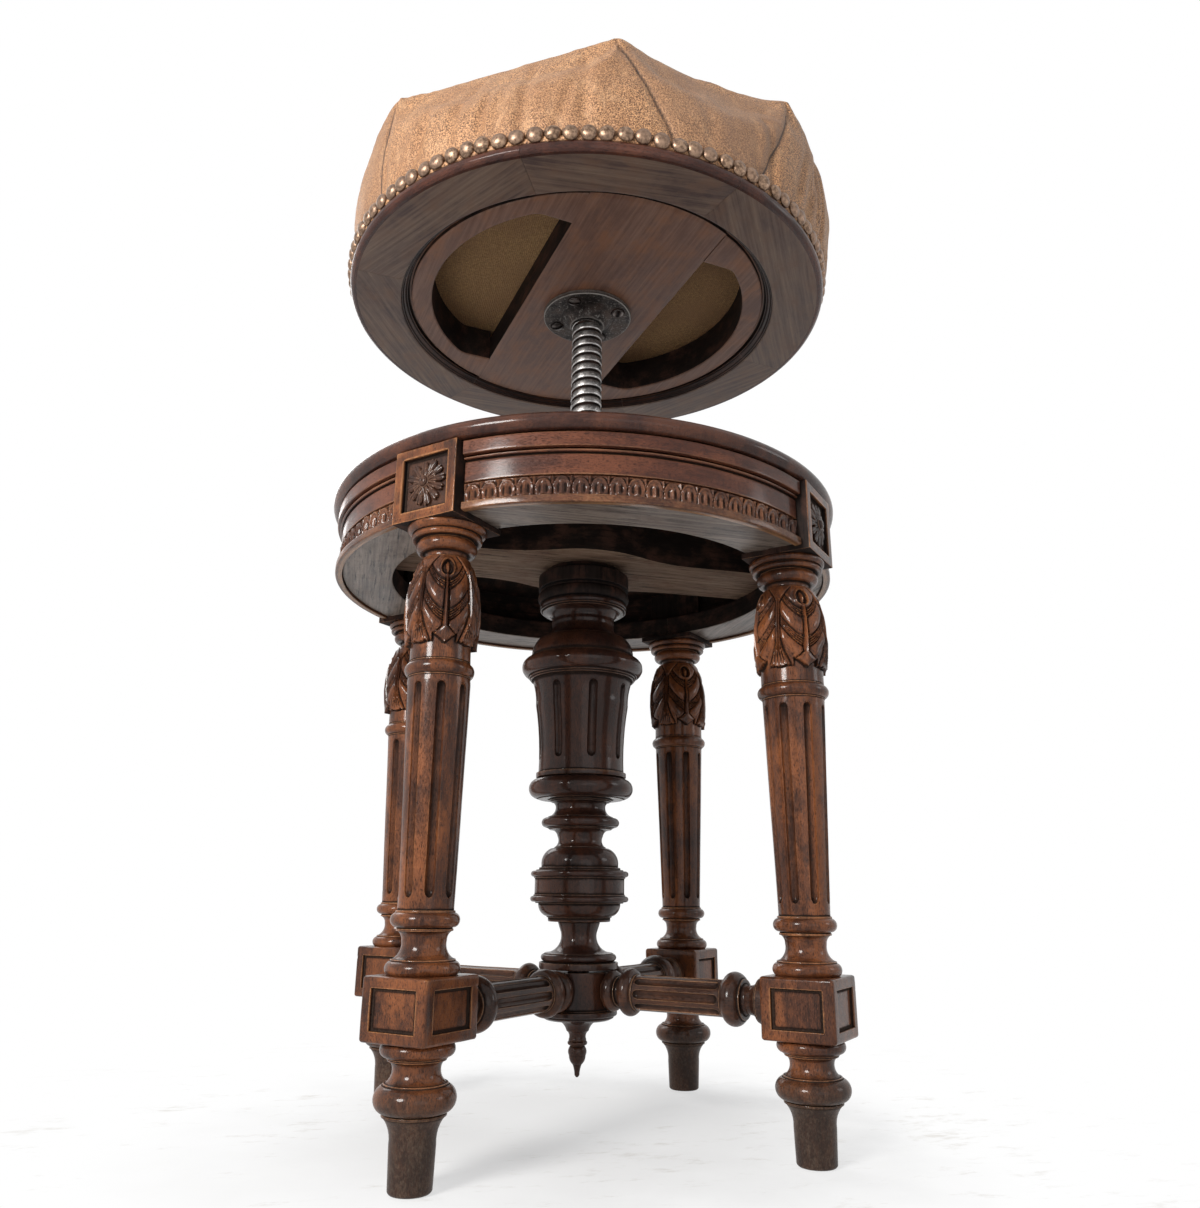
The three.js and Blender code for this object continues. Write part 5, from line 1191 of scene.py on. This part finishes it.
# painted shade: the upright walls of the board and of its openings are made near-black
lined(seat_board, shade_and_grease_black, lambda at, up: 591.2 < at.z < 618.5 and abs(up.z) < 0.5)
carried(seat_board, "seat", "raw_wood", "seat_ring")

# ------------------------------------------------------------
# Seat plank. One straight board across the ring, half-lapped into it at both ends, that carries the
# flange of the screw; its edges are sawn.
PLANK_REACH, PLANK_GAP = 140.7, 0.12
seat_plank = Form()
rows = []
for y in np.linspace(-PLANK_HALF + PLANK_GAP, PLANK_HALF - PLANK_GAP, 31):
    reach = math.sqrt(PLANK_REACH**2 - y**2)
    near = min(1.0, (PLANK_HALF - PLANK_GAP - abs(y)) / 0.5)
    lift = 0.5 * (1 - near) ** 2
    spots = [(-reach, y, 590.3), *[(x, y, 590 + lift) for x in np.linspace(-reach + 0.5, reach - 0.5, 60)]]
    spots += [(reach, y, 590.3), (reach, y, 611.8), *[(x, y, 612) for x in np.linspace(reach - 1, -reach + 1, 20)]]
    rows.append(np.array([*spots, (-reach, y, 611.8)]))
rows = np.array(rows)
rows += 0.1 * waver(rows.reshape(-1, 3), 60, 91).reshape(*rows.shape[:2], 1) * [0, 0, 1]
seat_plank.skin(rows, grain=rows.reshape(-1, 3) + [400, 0, 0])
seat_plank = turned_by(seat_plank, SEAT_TURN).made("seat_plank", inner_wood)
# painted shade: the upright sides of the plank are made near-black
lined(seat_plank, shade_and_grease_black, lambda at, up: 591.2 < at.z and abs(up.z) < 0.5)
carried(seat_plank, "seat", "raw_wood", "seat_plank")

# ------------------------------------------------------------
# Flange and its screws. A round plate of cast iron with a conical boss that grips the head of the lead
# screw, held up to the plank by four round-headed slotted screws.
flange_iron = worn_iron(
    "cast iron of the flange", (0.022, 0.018, 0.017), (0.07, 0.056, 0.05), (0.3, 0.28, 0.26),
    roughness=0.46, cast=0.6,
)
flange = Form()
plate = Outline(12, 578.7).step(13.4).line(14.2, 1).round(19.4, 5.4, -0.8).line(20.6, 0.7).step(34.4)
flange.turned(plate.line(35, 0.5).rise(3.3).step(10).softened(0.5), 96, seed=92, unevenness=0.15)
carried(flange.made("screw_flange", flange_iron), "seat", "dark_iron", "screw_flange")
FLANGE_SCREW_CIRCLE = 26.5
heads = Form()
for i, slot_turn in enumerate([0.9, 1.4, -0.1, 2.4]):
    spot = ring_at(np.radians([SEAT_TURN + 45 + 90 * i]), FLANGE_SCREW_CIRCLE, 585.8)[0]
    screw_head(heads, spot, radius=4.4, dome=1.1, height=1.2, slot_turn=slot_turn, down=True)
head_iron = worn_iron(
    "iron of the screw heads", (0.09, 0.078, 0.072), (0.24, 0.21, 0.195), (0.5, 0.48, 0.45), roughness=0.34,
)
flange_heads = with_dark_slots(heads.made("screws_of_the_flange", head_iron, sharp=30), heads.slots)
carried(flange_heads, "seat", "dark_iron", *["flange_screw_" + side for side in SIDES])

# ------------------------------------------------------------
# Lead screw, with its stop washer and end nut. Forged and turned from one bar of iron, right-handed, with
# broad rounded crests and a narrow groove; the nut polishes the crests, and black grease fills the grooves.
screw_iron = worn_iron(
    "worn iron of the lead screw", (0.12, 0.112, 0.11), (0.38, 0.365, 0.355), (0.66, 0.64, 0.62),
    roughness=0.27, cast=0.12,
)
lead_screw = Form()
thread(lead_screw, 371, 578.6, root=THREAD_RADIUS - THREAD_DEPTH, crest=THREAD_RADIUS, crest_width=5)
lead_screw.turned(Outline(5.2, 361.8).line(6, 0.7).rise(8.7).step(9.8).line(10.4, 0.6).softened(0.2), 48)
lead_screw.turned(Outline(10.4, 577.9).line(10.4, 1.2).step(9).rise(3).softened(0.2), 48)
turned_screw = lead_screw.made("lead_screw", screw_iron, sharp=50)
lined(turned_screw, shade_and_grease_black, lambda at, up: at.xy.length < 11.1 and 371.3 < at.z < 578.3)
carried(turned_screw, "seat", "bright_iron", "lead_screw")
washer = Form()
washer.turned(Outline(6.2, 368.2).step(11).rise(2.5).step(6.2).softened(0.3), 64, caps=False)
washer.faces += [(washer.count - 64 + i, washer.count - 64 + (i + 1) % 64, (i + 1) % 64, i) for i in range(64)]
carried(washer.made("stop_washer", screw_iron), "stop", "bright_iron", "stop_washer")


def hexagon(height, radius):
    around = np.arange(72) * math.pi / 36
    flat = 7.9 / np.cos((around + math.pi / 6) % (math.pi / 3) - math.pi / 6)
    return around, np.minimum(flat, radius)


end_nut = Form()
end_nut.turned(Outline(5, 363.8).step(8.2).line(9.1, 0.6).rise(2.9).line(8.2, 0.6).step(5).points, shape=hexagon)
carried(end_nut.made("end_nut", flange_iron, sharp=25), "seat", "dark_iron", "end_nut")

# ------------------------------------------------------------
# Canvas. Burlap of a coarse open weave, stretched over the seat ring under the springs and tacked round
# its edge; it shows from below through the two openings.
CANVAS_LOW, CANVAS_THICKNESS = 620.35, 1.3
canvas = Form()
radii = np.concatenate([[0.5], np.arange(6, 174, 4), [174.5, 175.6]])
around = np.arange(180) * math.pi / 90
rings = [ring_at(around, r, CANVAS_LOW) for r in radii]
rings = np.array(rings + [ring + [0, 0, CANVAS_THICKNESS] for ring in rings[::-1]])
flat = rings.reshape(-1, 3)
flat[:, 2] += 0.12 * waver(flat * [1, 1, 0.01], 45, 95)
canvas.skin(rings, grain=flat.copy())
jute_brown, jute_pale = (0.34, 0.19, 0.08), (0.68, 0.41, 0.185)
stain_brown, between_threads = (0.42, 0.23, 0.11), (0.1, 0.055, 0.027)
weave = Finish("burlap of the canvas")
cloth = weave.stored("grain", "Vector")
drift = weave.node("ShaderNodeTexNoise", sockets={"Vector": cloth.stretched(0.05), "Detail": 2.0}, output=1)
bent = weave.node("ShaderNodeVectorMath", {"operation": "SCALE"}, {0: drift, "Scale": 2.2})
threads = {"Vector": weave.node("ShaderNodeVectorMath", {"operation": "ADD"}, {0: cloth, 1: bent})}
threads |= {"Scale": 0.21, "Distortion": 0.6}
warp, weft = [weave.node("ShaderNodeTexWave", {"bands_direction": way}, threads) for way in "XY"]
fuzz = weave.noise(cloth, 4, 0.65, 0.5)
stains = weave.noise(cloth, 4, 0.6, 0.018)
colour = weave.mix(fuzz.between(0.3, 0.7), jute_brown, jute_pale)
colour = weave.mix(stains.between(0.4, 0.65) * 0.6, colour, stain_brown)
colour = weave.mix((1 - warp * weft) * 0.5, colour, between_threads)
weave.paint(Base_Color=colour, Roughness=0.92, Normal=weave.bump(warp * 0.5 + weft * 0.5 + fuzz, 0.5, 0.9))
canvas_piece = canvas.made("seat_canvas", weave.material)
carried(canvas_piece, "seat", "burlap", "seat_canvas")

# ------------------------------------------------------------
# Cushion. Tan leather over springs and horsehair: eight panels, four broad and four narrow, sewn into
# an eight-cornered cover, pulled down over the seat ring and nailed round its edge. It is padded full.
HEM, CROWN = 593.4, 716.5
HEM_RADIUS, RING_WALL = 185.0, 181.6
TOP_CORNERS = [  # angle, radius and height of each corner of the cover
    (36, 180, 698), (86.5, 181, 699), (126, 182, 698), (176, 181, 697),
    (205, 188, 697.5), (262.8, 177.4, 700.6), (309.2, 191.3, 703), (355.5, 182, 700),
]
FOOT_SEAMS = [27.7, 94.7, 117.7, 184.7, 203.5, 275.2, 294.4, 364.7]
FULLNESS = [0.5, -0.1, 0.5, 0.3, -0.08, -0.6, 1.0, 0.0]
SWELL = [6.5, 3.0, 6.5, 4.0, 6.0, 3.5, 8.0, 3.0]


def corner_point(k):
    angle, radius, height = TOP_CORNERS[k % 8]
    return radius, ring_at(np.radians([angle]), radius, height)[0]


def cover_form(shrink):
    """The cover as sewn: round at the hem, eight-cornered above, each panel slightly swollen."""
    form = Form()
    columns = []
    for k in range(8):
        (radius_a, a), (radius_b, b) = corner_point(k), corner_point(k + 1)
        foot_a, foot_b = math.radians(FOOT_SEAMS[k]), math.radians(FOOT_SEAMS[(k + 1) % 8] + 360 * (k == 7))
        fullness, swell = FULLNESS[k], SWELL[k]
        for phase in np.arange(18) / 18:
            rim = a + (b - a) * phase
            arc = radius_a + (radius_b - radius_a) * phase
            rim[:2] *= 1 + fullness * (arc / np.hypot(*rim[:2]) - 1)
            rim_angle, foot_angle = math.atan2(rim[1], rim[0]), foot_a + (foot_b - foot_a) * phase
            rim_angle += 2 * math.pi * round((foot_angle - rim_angle) / (2 * math.pi))
            rim_radius = np.hypot(*rim[:2])
            column = []
            for share in np.linspace(0, 1, 16):
                radius = HEM_RADIUS + (rim_radius - HEM_RADIUS) * share**1.6 - shrink
                radius += (1.6 + swell * math.sin(math.pi * phase) ** 0.7) * math.sin(math.pi * share**0.8)
                angle = foot_angle + (rim_angle - foot_angle) * share
                height = HEM - 4 + (rim[2] - shrink - HEM + 4) * share
                column.append((radius * math.cos(angle), radius * math.sin(angle), height))
            for share in (0.97, 0.9, 0.78, 0.62, 0.45, 0.28, 0.1):
                edge = np.array(column[15])
                height = edge[2] + (CROWN - shrink - edge[2]) * (1 - share**2.2)
                column.append((edge[0] * share, edge[1] * share, height))
            columns.append(column)
    return form.skin(np.array(columns).transpose(1, 0, 2))


def with_modifiers(piece):
    """The piece's mesh as its modifiers leave it, in place of the old one."""
    mesh = bpy.data.meshes.new_from_object(piece.evaluated_get(bpy.context.evaluated_depsgraph_get()))
    piece.modifiers.clear()
    piece.data = mesh
    return mesh


def stuffed(piece, voxel, pressure, most):
    """Gives the form an even mesh and blows it up as cloth; most says how far each point may move."""
    even = piece.modifiers.new("even mesh", "REMESH")
    even.mode, even.voxel_size = "VOXEL", voxel * MM
    mesh = with_modifiers(piece)
    start = places_of(mesh)
    held = piece.vertex_groups.new(name="nailed down")
    reach = most(start)
    held.add(np.flatnonzero(reach < 0.01).tolist(), 1.0, "REPLACE")
    cloth = piece.modifiers.new("cloth", "CLOTH")
    cloth.settings.quality = 6
    cloth.settings.use_pressure = True
    cloth.settings.uniform_pressure_force = pressure
    cloth.settings.effector_weights.gravity = 0
    cloth.settings.vertex_group_mass = "nailed down"
    cloth.point_cache.frame_start, cloth.point_cache.frame_end = 1, 20
    for frame_number in range(1, 21):
        bpy.context.scene.frame_set(frame_number)
    mesh = with_modifiers(piece)
    bpy.context.scene.frame_set(1)
    piece.vertex_groups.clear()
    move = places_of(mesh) - start
    length = np.maximum(np.linalg.norm(move, axis=1), 1e-6)
    start += move * np.minimum(1, reach / length)[:, None]
    mesh.vertices.foreach_set("co", (start * MM).ravel())
    finer = piece.modifiers.new("finer mesh", "SUBSURF")
    finer.levels = 2
    return with_modifiers(piece)


def seam_distance(places):
    """How far each point lies from the nearest upright seam, signed, and whether its panel is broad."""
    angle = np.degrees(np.arctan2(places[:, 1], places[:, 0])) % 360
    tops = np.array([top for top, _, _ in TOP_CORNERS])
    share = np.clip((places[:, 2] - HEM) / (690 - HEM), 0, 1)
    feet = np.array(FOOT_SEAMS)
    lines = feet + ((tops + 180 - feet) % 360 - 180) * share[:, None]
    gap = (angle[:, None] - lines + 180) % 360 - 180
    nearest = np.abs(gap).argmin(1)
    signed = gap[np.arange(len(gap)), nearest]
    broad = (nearest % 2 == 0) == (signed > 0)
    return np.radians(signed) * np.hypot(*places[:, :2].T), broad


def pressed_in(places, normals):
    """The folds that the leather takes where it is pulled down to the nails, and the valleys of the seams."""
    across, _ = seam_distance(places)
    upright = np.clip(1.4 - 1.6 * normals[:, 2], 0, 1)
    height = places[:, 2] - HEM
    angle = np.degrees(np.arctan2(places[:, 1], places[:, 0])) % 360
    depth = 1.5 * np.exp(-np.abs(across / 1.7) ** 1.4) + 1.3 * np.exp(-((across / 7) ** 2))
    depth *= upright * np.clip(height / 6, 0, 1)
    dice = np.random.default_rng(8)
    folds = [(foot + share * 67, 1.0) for foot in FOOT_SEAMS[::2] for share in np.arange(0.07, 0.82, 0.09)]
    folds += [(dice.uniform(0, 360), 0.4) for _ in range(16)]
    for middle, size in folds:
        middle, slant = middle + dice.uniform(-1.5, 1.5), dice.uniform(-0.02, 0.11)
        width, strength = dice.uniform(1.0, 1.7), dice.uniform(1.8, 4.2) * size
        low, top = dice.uniform(-5, 10), dice.uniform(55, 108)
        away = (angle - middle - slant * height + 180) % 360 - 180
        fade = np.clip((height - low) / 14, 0, 1) * np.clip((top - height) / 34, 0, 1)
        crease = np.exp(-((away / width) ** 2)) - 0.22 * np.exp(-((away / width / 2.2) ** 2))
        depth += strength * fade * upright * crease
    near_nails = np.exp(-np.clip(height - 3, 0, 99) / 7)
    depth += 0.45 * near_nails * upright * np.cos(np.radians(angle) * 101)
    depth += 1.8 * np.exp(-((height / 9) ** 4)) * upright
    places -= normals * depth[:, None]
    places += normals * (0.5 * waver(places, 38, 15) + 0.12 * waver(places, 9, 16))[:, None]


def opened_below(mesh):
    """Cuts the cover at its hem and gives it the hollow in which the seat ring and the canvas lie."""
    shell = bmesh.new()
    shell.from_mesh(mesh)
    everything = shell.verts[:] + shell.edges[:] + shell.faces[:]
    bmesh.ops.bisect_plane(shell, geom=everything, plane_co=(0, 0, HEM * MM), plane_no=(0, 0, 1), clear_inner=True)
    rim = [edge for edge in shell.edges if edge.is_boundary]
    for radius, height in ((RING_WALL, HEM), (RING_WALL, 622.2), (90, 622.2)):
        new = bmesh.ops.extrude_edge_only(shell, edges=rim)["geom"]
        rim = [part for part in new if isinstance(part, bmesh.types.BMEdge)]
        for vertex in {v for edge in rim for v in edge.verts}:
            share = radius * MM / vertex.co.xy.length
            vertex.co = (vertex.co.x * share, vertex.co.y * share, height * MM)
    bmesh.ops.contextual_create(shell, geom=rim)
    bmesh.ops.recalc_face_normals(shell, faces=shell.faces)
    shell.to_mesh(mesh)
    shell.free()


pore_brown, tan, stain_brown = (0.07, 0.026, 0.011), (0.68, 0.365, 0.178), (0.27, 0.125, 0.056)
scuffed_tan, gusset_brown, stitch_brown = (0.68, 0.42, 0.24), (0.24, 0.13, 0.075), (0.03, 0.014, 0.008)
leather = Finish("tan leather of the cushion")
skin_place = leather.stored("grain", "Vector")
seam, gusset = leather.stored("seam"), leather.stored("narrow")
pebbles = {"Vector": skin_place.stretched(1.0), "Scale": 1.0}
pebbles = leather.node("ShaderNodeTexVoronoi", {"feature": "F1"}, pebbles)
bend = leather.noise(skin_place, 4, 0.6, 0.3)
specks = leather.noise(skin_place, 4, 0.8, 1.15)
clouds = leather.noise(skin_place, 5, 0.6, 0.03, 0.03, 0.018)
scuffs = leather.noise(skin_place, 5, 0.65, 0.11, 0.11, 0.05)
colour = leather.mix((specks + pebbles * 0.25).between(0.51, 0.74), pore_brown, tan)
colour = leather.mix(clouds.between(0.4, 0.66) * 0.4, colour, stain_brown)
colour = leather.mix((scuffs + specks * 0.35).between(0.66, 0.9) * 0.45, colour, scuffed_tan)
colour = leather.mix(gusset * 0.4, colour, gusset_brown)
colour = leather.mix(seam, colour, stitch_brown)
skin_relief = specks * 0.8 - pebbles * 0.5 + bend * 0.6
leather.paint(
    Base_Color=colour, Roughness=specks * 0.25 + scuffs * 0.2 + 0.3, Specular_IOR_Level=0.45,
    Normal=leather.bump(skin_relief, 0.5, 0.9),
)
cushion = cover_form(shrink=2.0).made("leather_cushion", leather.material)
stuffed(cushion, voxel=5, pressure=4, most=lambda places: 6 * np.clip((places[:, 2] - 603) / 45, 0, 1))
cushion_mesh = cushion.data
spots = places_of(cushion_mesh)
pressed_in(spots, normals_of(cushion_mesh))
cushion_mesh.vertices.foreach_set("co", (spots * MM).ravel())
opened_below(cushion_mesh)
spots = places_of(cushion_mesh)
away_from_seam, broad = seam_distance(spots)
below_rim = np.clip((684 - spots[:, 2]) / 6 + 0.6, 0, 1)
store(cushion_mesh, "grain", spots)
store(cushion_mesh, "seam", np.clip(1.5 - np.abs(away_from_seam) / 0.9, 0, 1) * below_rim)
store(cushion_mesh, "narrow", np.where(broad, 0.0, 1.0) * below_rim)
cushion_mesh.shade_smooth()
carried(cushion, "seat", "leather", "seat_cushion", "leather_border")

# ------------------------------------------------------------
# Hem and nails. The leather is turned under along the rabbet of the ring, and domed nails of antique
# brass hold it, set by hand almost touching, so no two sit quite alike.
hem = Form()
hem_corners = [(181.6, 593.1), (184.2, 593.1), (184.8, 594.0), (184.8, 596.4), (181.6, 597.5)]
swept(hem, closed_section(*hem_corners, edge=0.4), 0, 360, 240, seed=97, bent=True, around=True)
carried(hem.made("leather_hem", leather.material), "seat", "leather")
tarnish_brown, old_brass = (0.1, 0.058, 0.036), (0.34, 0.22, 0.145)
dull_brass, dirt_brown = (0.22, 0.14, 0.1), (0.05, 0.028, 0.016)
nail_brass = Finish("antique brass of the nails")
place = nail_brass.stored("grain", "Vector")
dirt = nail_brass.stored("hollow")
tarnish = nail_brass.noise(place, 4, 0.65, 0.45)
each = nail_brass.noise(place, 2, 0.5, 0.05)
colour = nail_brass.mix(tarnish.between(0.36, 0.62), tarnish_brown, old_brass)
colour = nail_brass.mix(each.between(0.4, 0.6) * 0.5, colour, dull_brass)
colour = nail_brass.mix((dirt * 1.4 + tarnish * 0.3 - 0.2).between(0.05, 0.6), colour, dirt_brown)
nail_brass.paint(
    Base_Color=colour, Metallic=0.75, Roughness=tarnish * 0.35 + 0.2, Normal=nail_brass.bump(tarnish, 0.25, 0.7),
)
NAILS, NAIL_RADIUS, NAIL_HEIGHT, NAIL_CIRCLE = 101, 5.65, 597.5, 185.3
DOME = [(0.94, -0.6), (1.0, -0.1), (1.0, 0.35), (0.95, 1.1), (0.84, 1.9), (0.66, 2.65), (0.42, 3.2), (0.16, 3.45)]
turns = np.arange(20) * math.pi / 10
dice = np.random.default_rng(21)
nails = Form()
for i in range(NAILS):
    angle = 2 * math.pi * (i + dice.uniform(-0.09, 0.09)) / NAILS
    size = NAIL_RADIUS * dice.uniform(0.95, 1.03)
    lift, tilt, lean = dice.uniform(-0.45, 0.45), dice.uniform(-0.13, 0.13), dice.uniform(-0.1, 0.2)
    out = Matrix.Rotation(angle, 4, "Z") @ Matrix.Translation((NAIL_CIRCLE, 0, NAIL_HEIGHT + lift))
    out = out @ Matrix.Rotation(tilt, 4, "Z") @ Matrix.Rotation(lean, 4, "Y") @ Matrix.Rotation(QUARTER, 4, "Y")
    dents = dice.uniform(0, 6, 2)
    dent = 1 + 0.02 * np.cos(2 * turns + dents[0]) + 0.012 * np.cos(3 * turns + dents[1])
    rings = []
    for radius, height in DOME:
        ring = np.column_stack([ring_at(turns, size * radius * dent, height), 0 * turns + 1])
        rings.append((ring @ np.array(out).T)[:, :3])
    nails.skin(rings, grain=np.array(rings).reshape(-1, 3))
carried(nails.made("brass_nails", nail_brass.material, sharp=70), "seat", "nail_brass")

# ------------------------------------------------------------
# Floor, light and camera. A pale plain floor that runs into a white surround, a broad soft lamp in front and
# to the left, weaker ones low in front, on the right and behind, and the camera low in front of the stool.
camera_place = Vector((-0.1539, -0.6518, 0.1427))
camera_way = Vector((0.2369, 0.9272, 0.2901)).normalized()
ROLL = 0.0083
camera_data = bpy.data.cameras.new("camera")
camera_data.lens, camera_data.sensor_width = 28.38, 36
camera = bpy.data.objects.new("camera", camera_data)
bpy.context.scene.collection.objects.link(camera)
turn = camera_way.to_track_quat("-Z", "Y").to_matrix().to_4x4()
camera.matrix_world = Matrix.Translation(camera_place) @ turn @ Matrix.Rotation(ROLL, 4, "Z")
camera_data.clip_start, camera_data.clip_end = 0.01, 60
bpy.context.scene.camera = camera

FLOOR_REACH, FLOOR_HEIGHT = 3.2, -0.0005
floor_mesh = bpy.data.meshes.new("floor")
steps = np.linspace(-1, 1, 13) * FLOOR_REACH
spots = [(x, y, FLOOR_HEIGHT) for y in steps for x in steps]
cells = [(i, i + 1, i + 14, i + 13) for i in range(len(spots) - 13) if i % 13 < 12]
floor_mesh.from_pydata(spots, [], cells)
floor = bpy.data.objects.new("floor", floor_mesh)
bpy.context.scene.collection.objects.link(floor)
floor_finish = Finish("pale floor")
floor_place = floor_finish.node("ShaderNodeTexCoord", output="Object")
patches = floor_finish.noise(floor_place, 5, 0.6, 6.0)
marks = floor_finish.noise(floor_place, 6, 0.75, 26.0, 60.0)
scuffed = (patches * 0.5 + marks).between(0.8, 1.02)
floor_colour = floor_finish.mix(scuffed * 0.8, (0.94, 0.94, 0.94), (0.7, 0.68, 0.65))
floor_finish.paint(Base_Color=floor_colour, Roughness=0.75, Specular_IOR_Level=0.2)
reach = floor_finish.node("ShaderNodeVectorMath", {"operation": "LENGTH"}, {0: floor_place}, output=1)
far = (reach + patches * 0.2).between(0.18, 0.38) * 0.5 + 0.5
rays = floor_finish.node("ShaderNodeLightPath", output="Is Camera Ray")
rays = rays.math("MAXIMUM", rays, floor_finish.node("ShaderNodeLightPath", output="Is Glossy Ray"))
traces = (patches * 0.5 + marks).between(0.82, 1.02) * (1 - reach).between(0.5, 0.72)
faint = floor_finish.mix(traces, (1, 1, 1), (0.84, 0.82, 0.79))
white = floor_finish.node("ShaderNodeEmission", sockets={"Color": faint, "Strength": 1.0})
floor_finish.over(far * rays, white)
floor_mesh.materials.append(floor_finish.material)

world = bpy.data.worlds.new("white surround")
bpy.context.scene.world = world
world.use_nodes = True
surround = Finish.of_world(world)
light = surround.node("ShaderNodeBackground", sockets={"Color": (0.95, 0.97, 1), "Strength": 0.15})
backdrop = surround.node("ShaderNodeBackground", sockets={"Color": (1, 1, 1), "Strength": 1.0})
seen = surround.node("ShaderNodeLightPath", output="Is Camera Ray")
for ray in ("Is Glossy Ray", "Is Transmission Ray"):
    seen = seen.math("MAXIMUM", seen, surround.node("ShaderNodeLightPath", output=ray))
surround.shown(surround.node("ShaderNodeMixShader", sockets={0: seen, 1: light, 2: backdrop}))


def lamp(name, place, target, size, power, colour=(1, 1, 1)):
    data = bpy.data.lights.new(name, "AREA")
    data.shape, data.size, data.energy, data.color = "DISK", size, power, colour
    made = bpy.data.objects.new(name, data)
    made.location = place
    made.rotation_mode = "QUATERNION"
    made.rotation_quaternion = (Vector(target) - Vector(place)).to_track_quat("-Z", "Y")
    bpy.context.scene.collection.objects.link(made)


lamp("broad lamp in front", (-1.15, -1.0, 0.75), (0, 0, 0.35), 0.5, 27, (1, 0.985, 0.96))
lamp("low lamp in front", (0.15, -1.7, 0.25), (0, 0, 0.35), 1.2, 3.0)
lamp("lamp on the right", (1.7, -0.7, 0.8), (0, 0, 0.35), 0.6, 3.2, (0.97, 0.985, 1))
lamp("lamp behind", (-0.6, 1.6, 1.5), (0, 0, 0.4), 1.0, 8)

bpy.context.scene.view_settings.view_transform = "Standard"
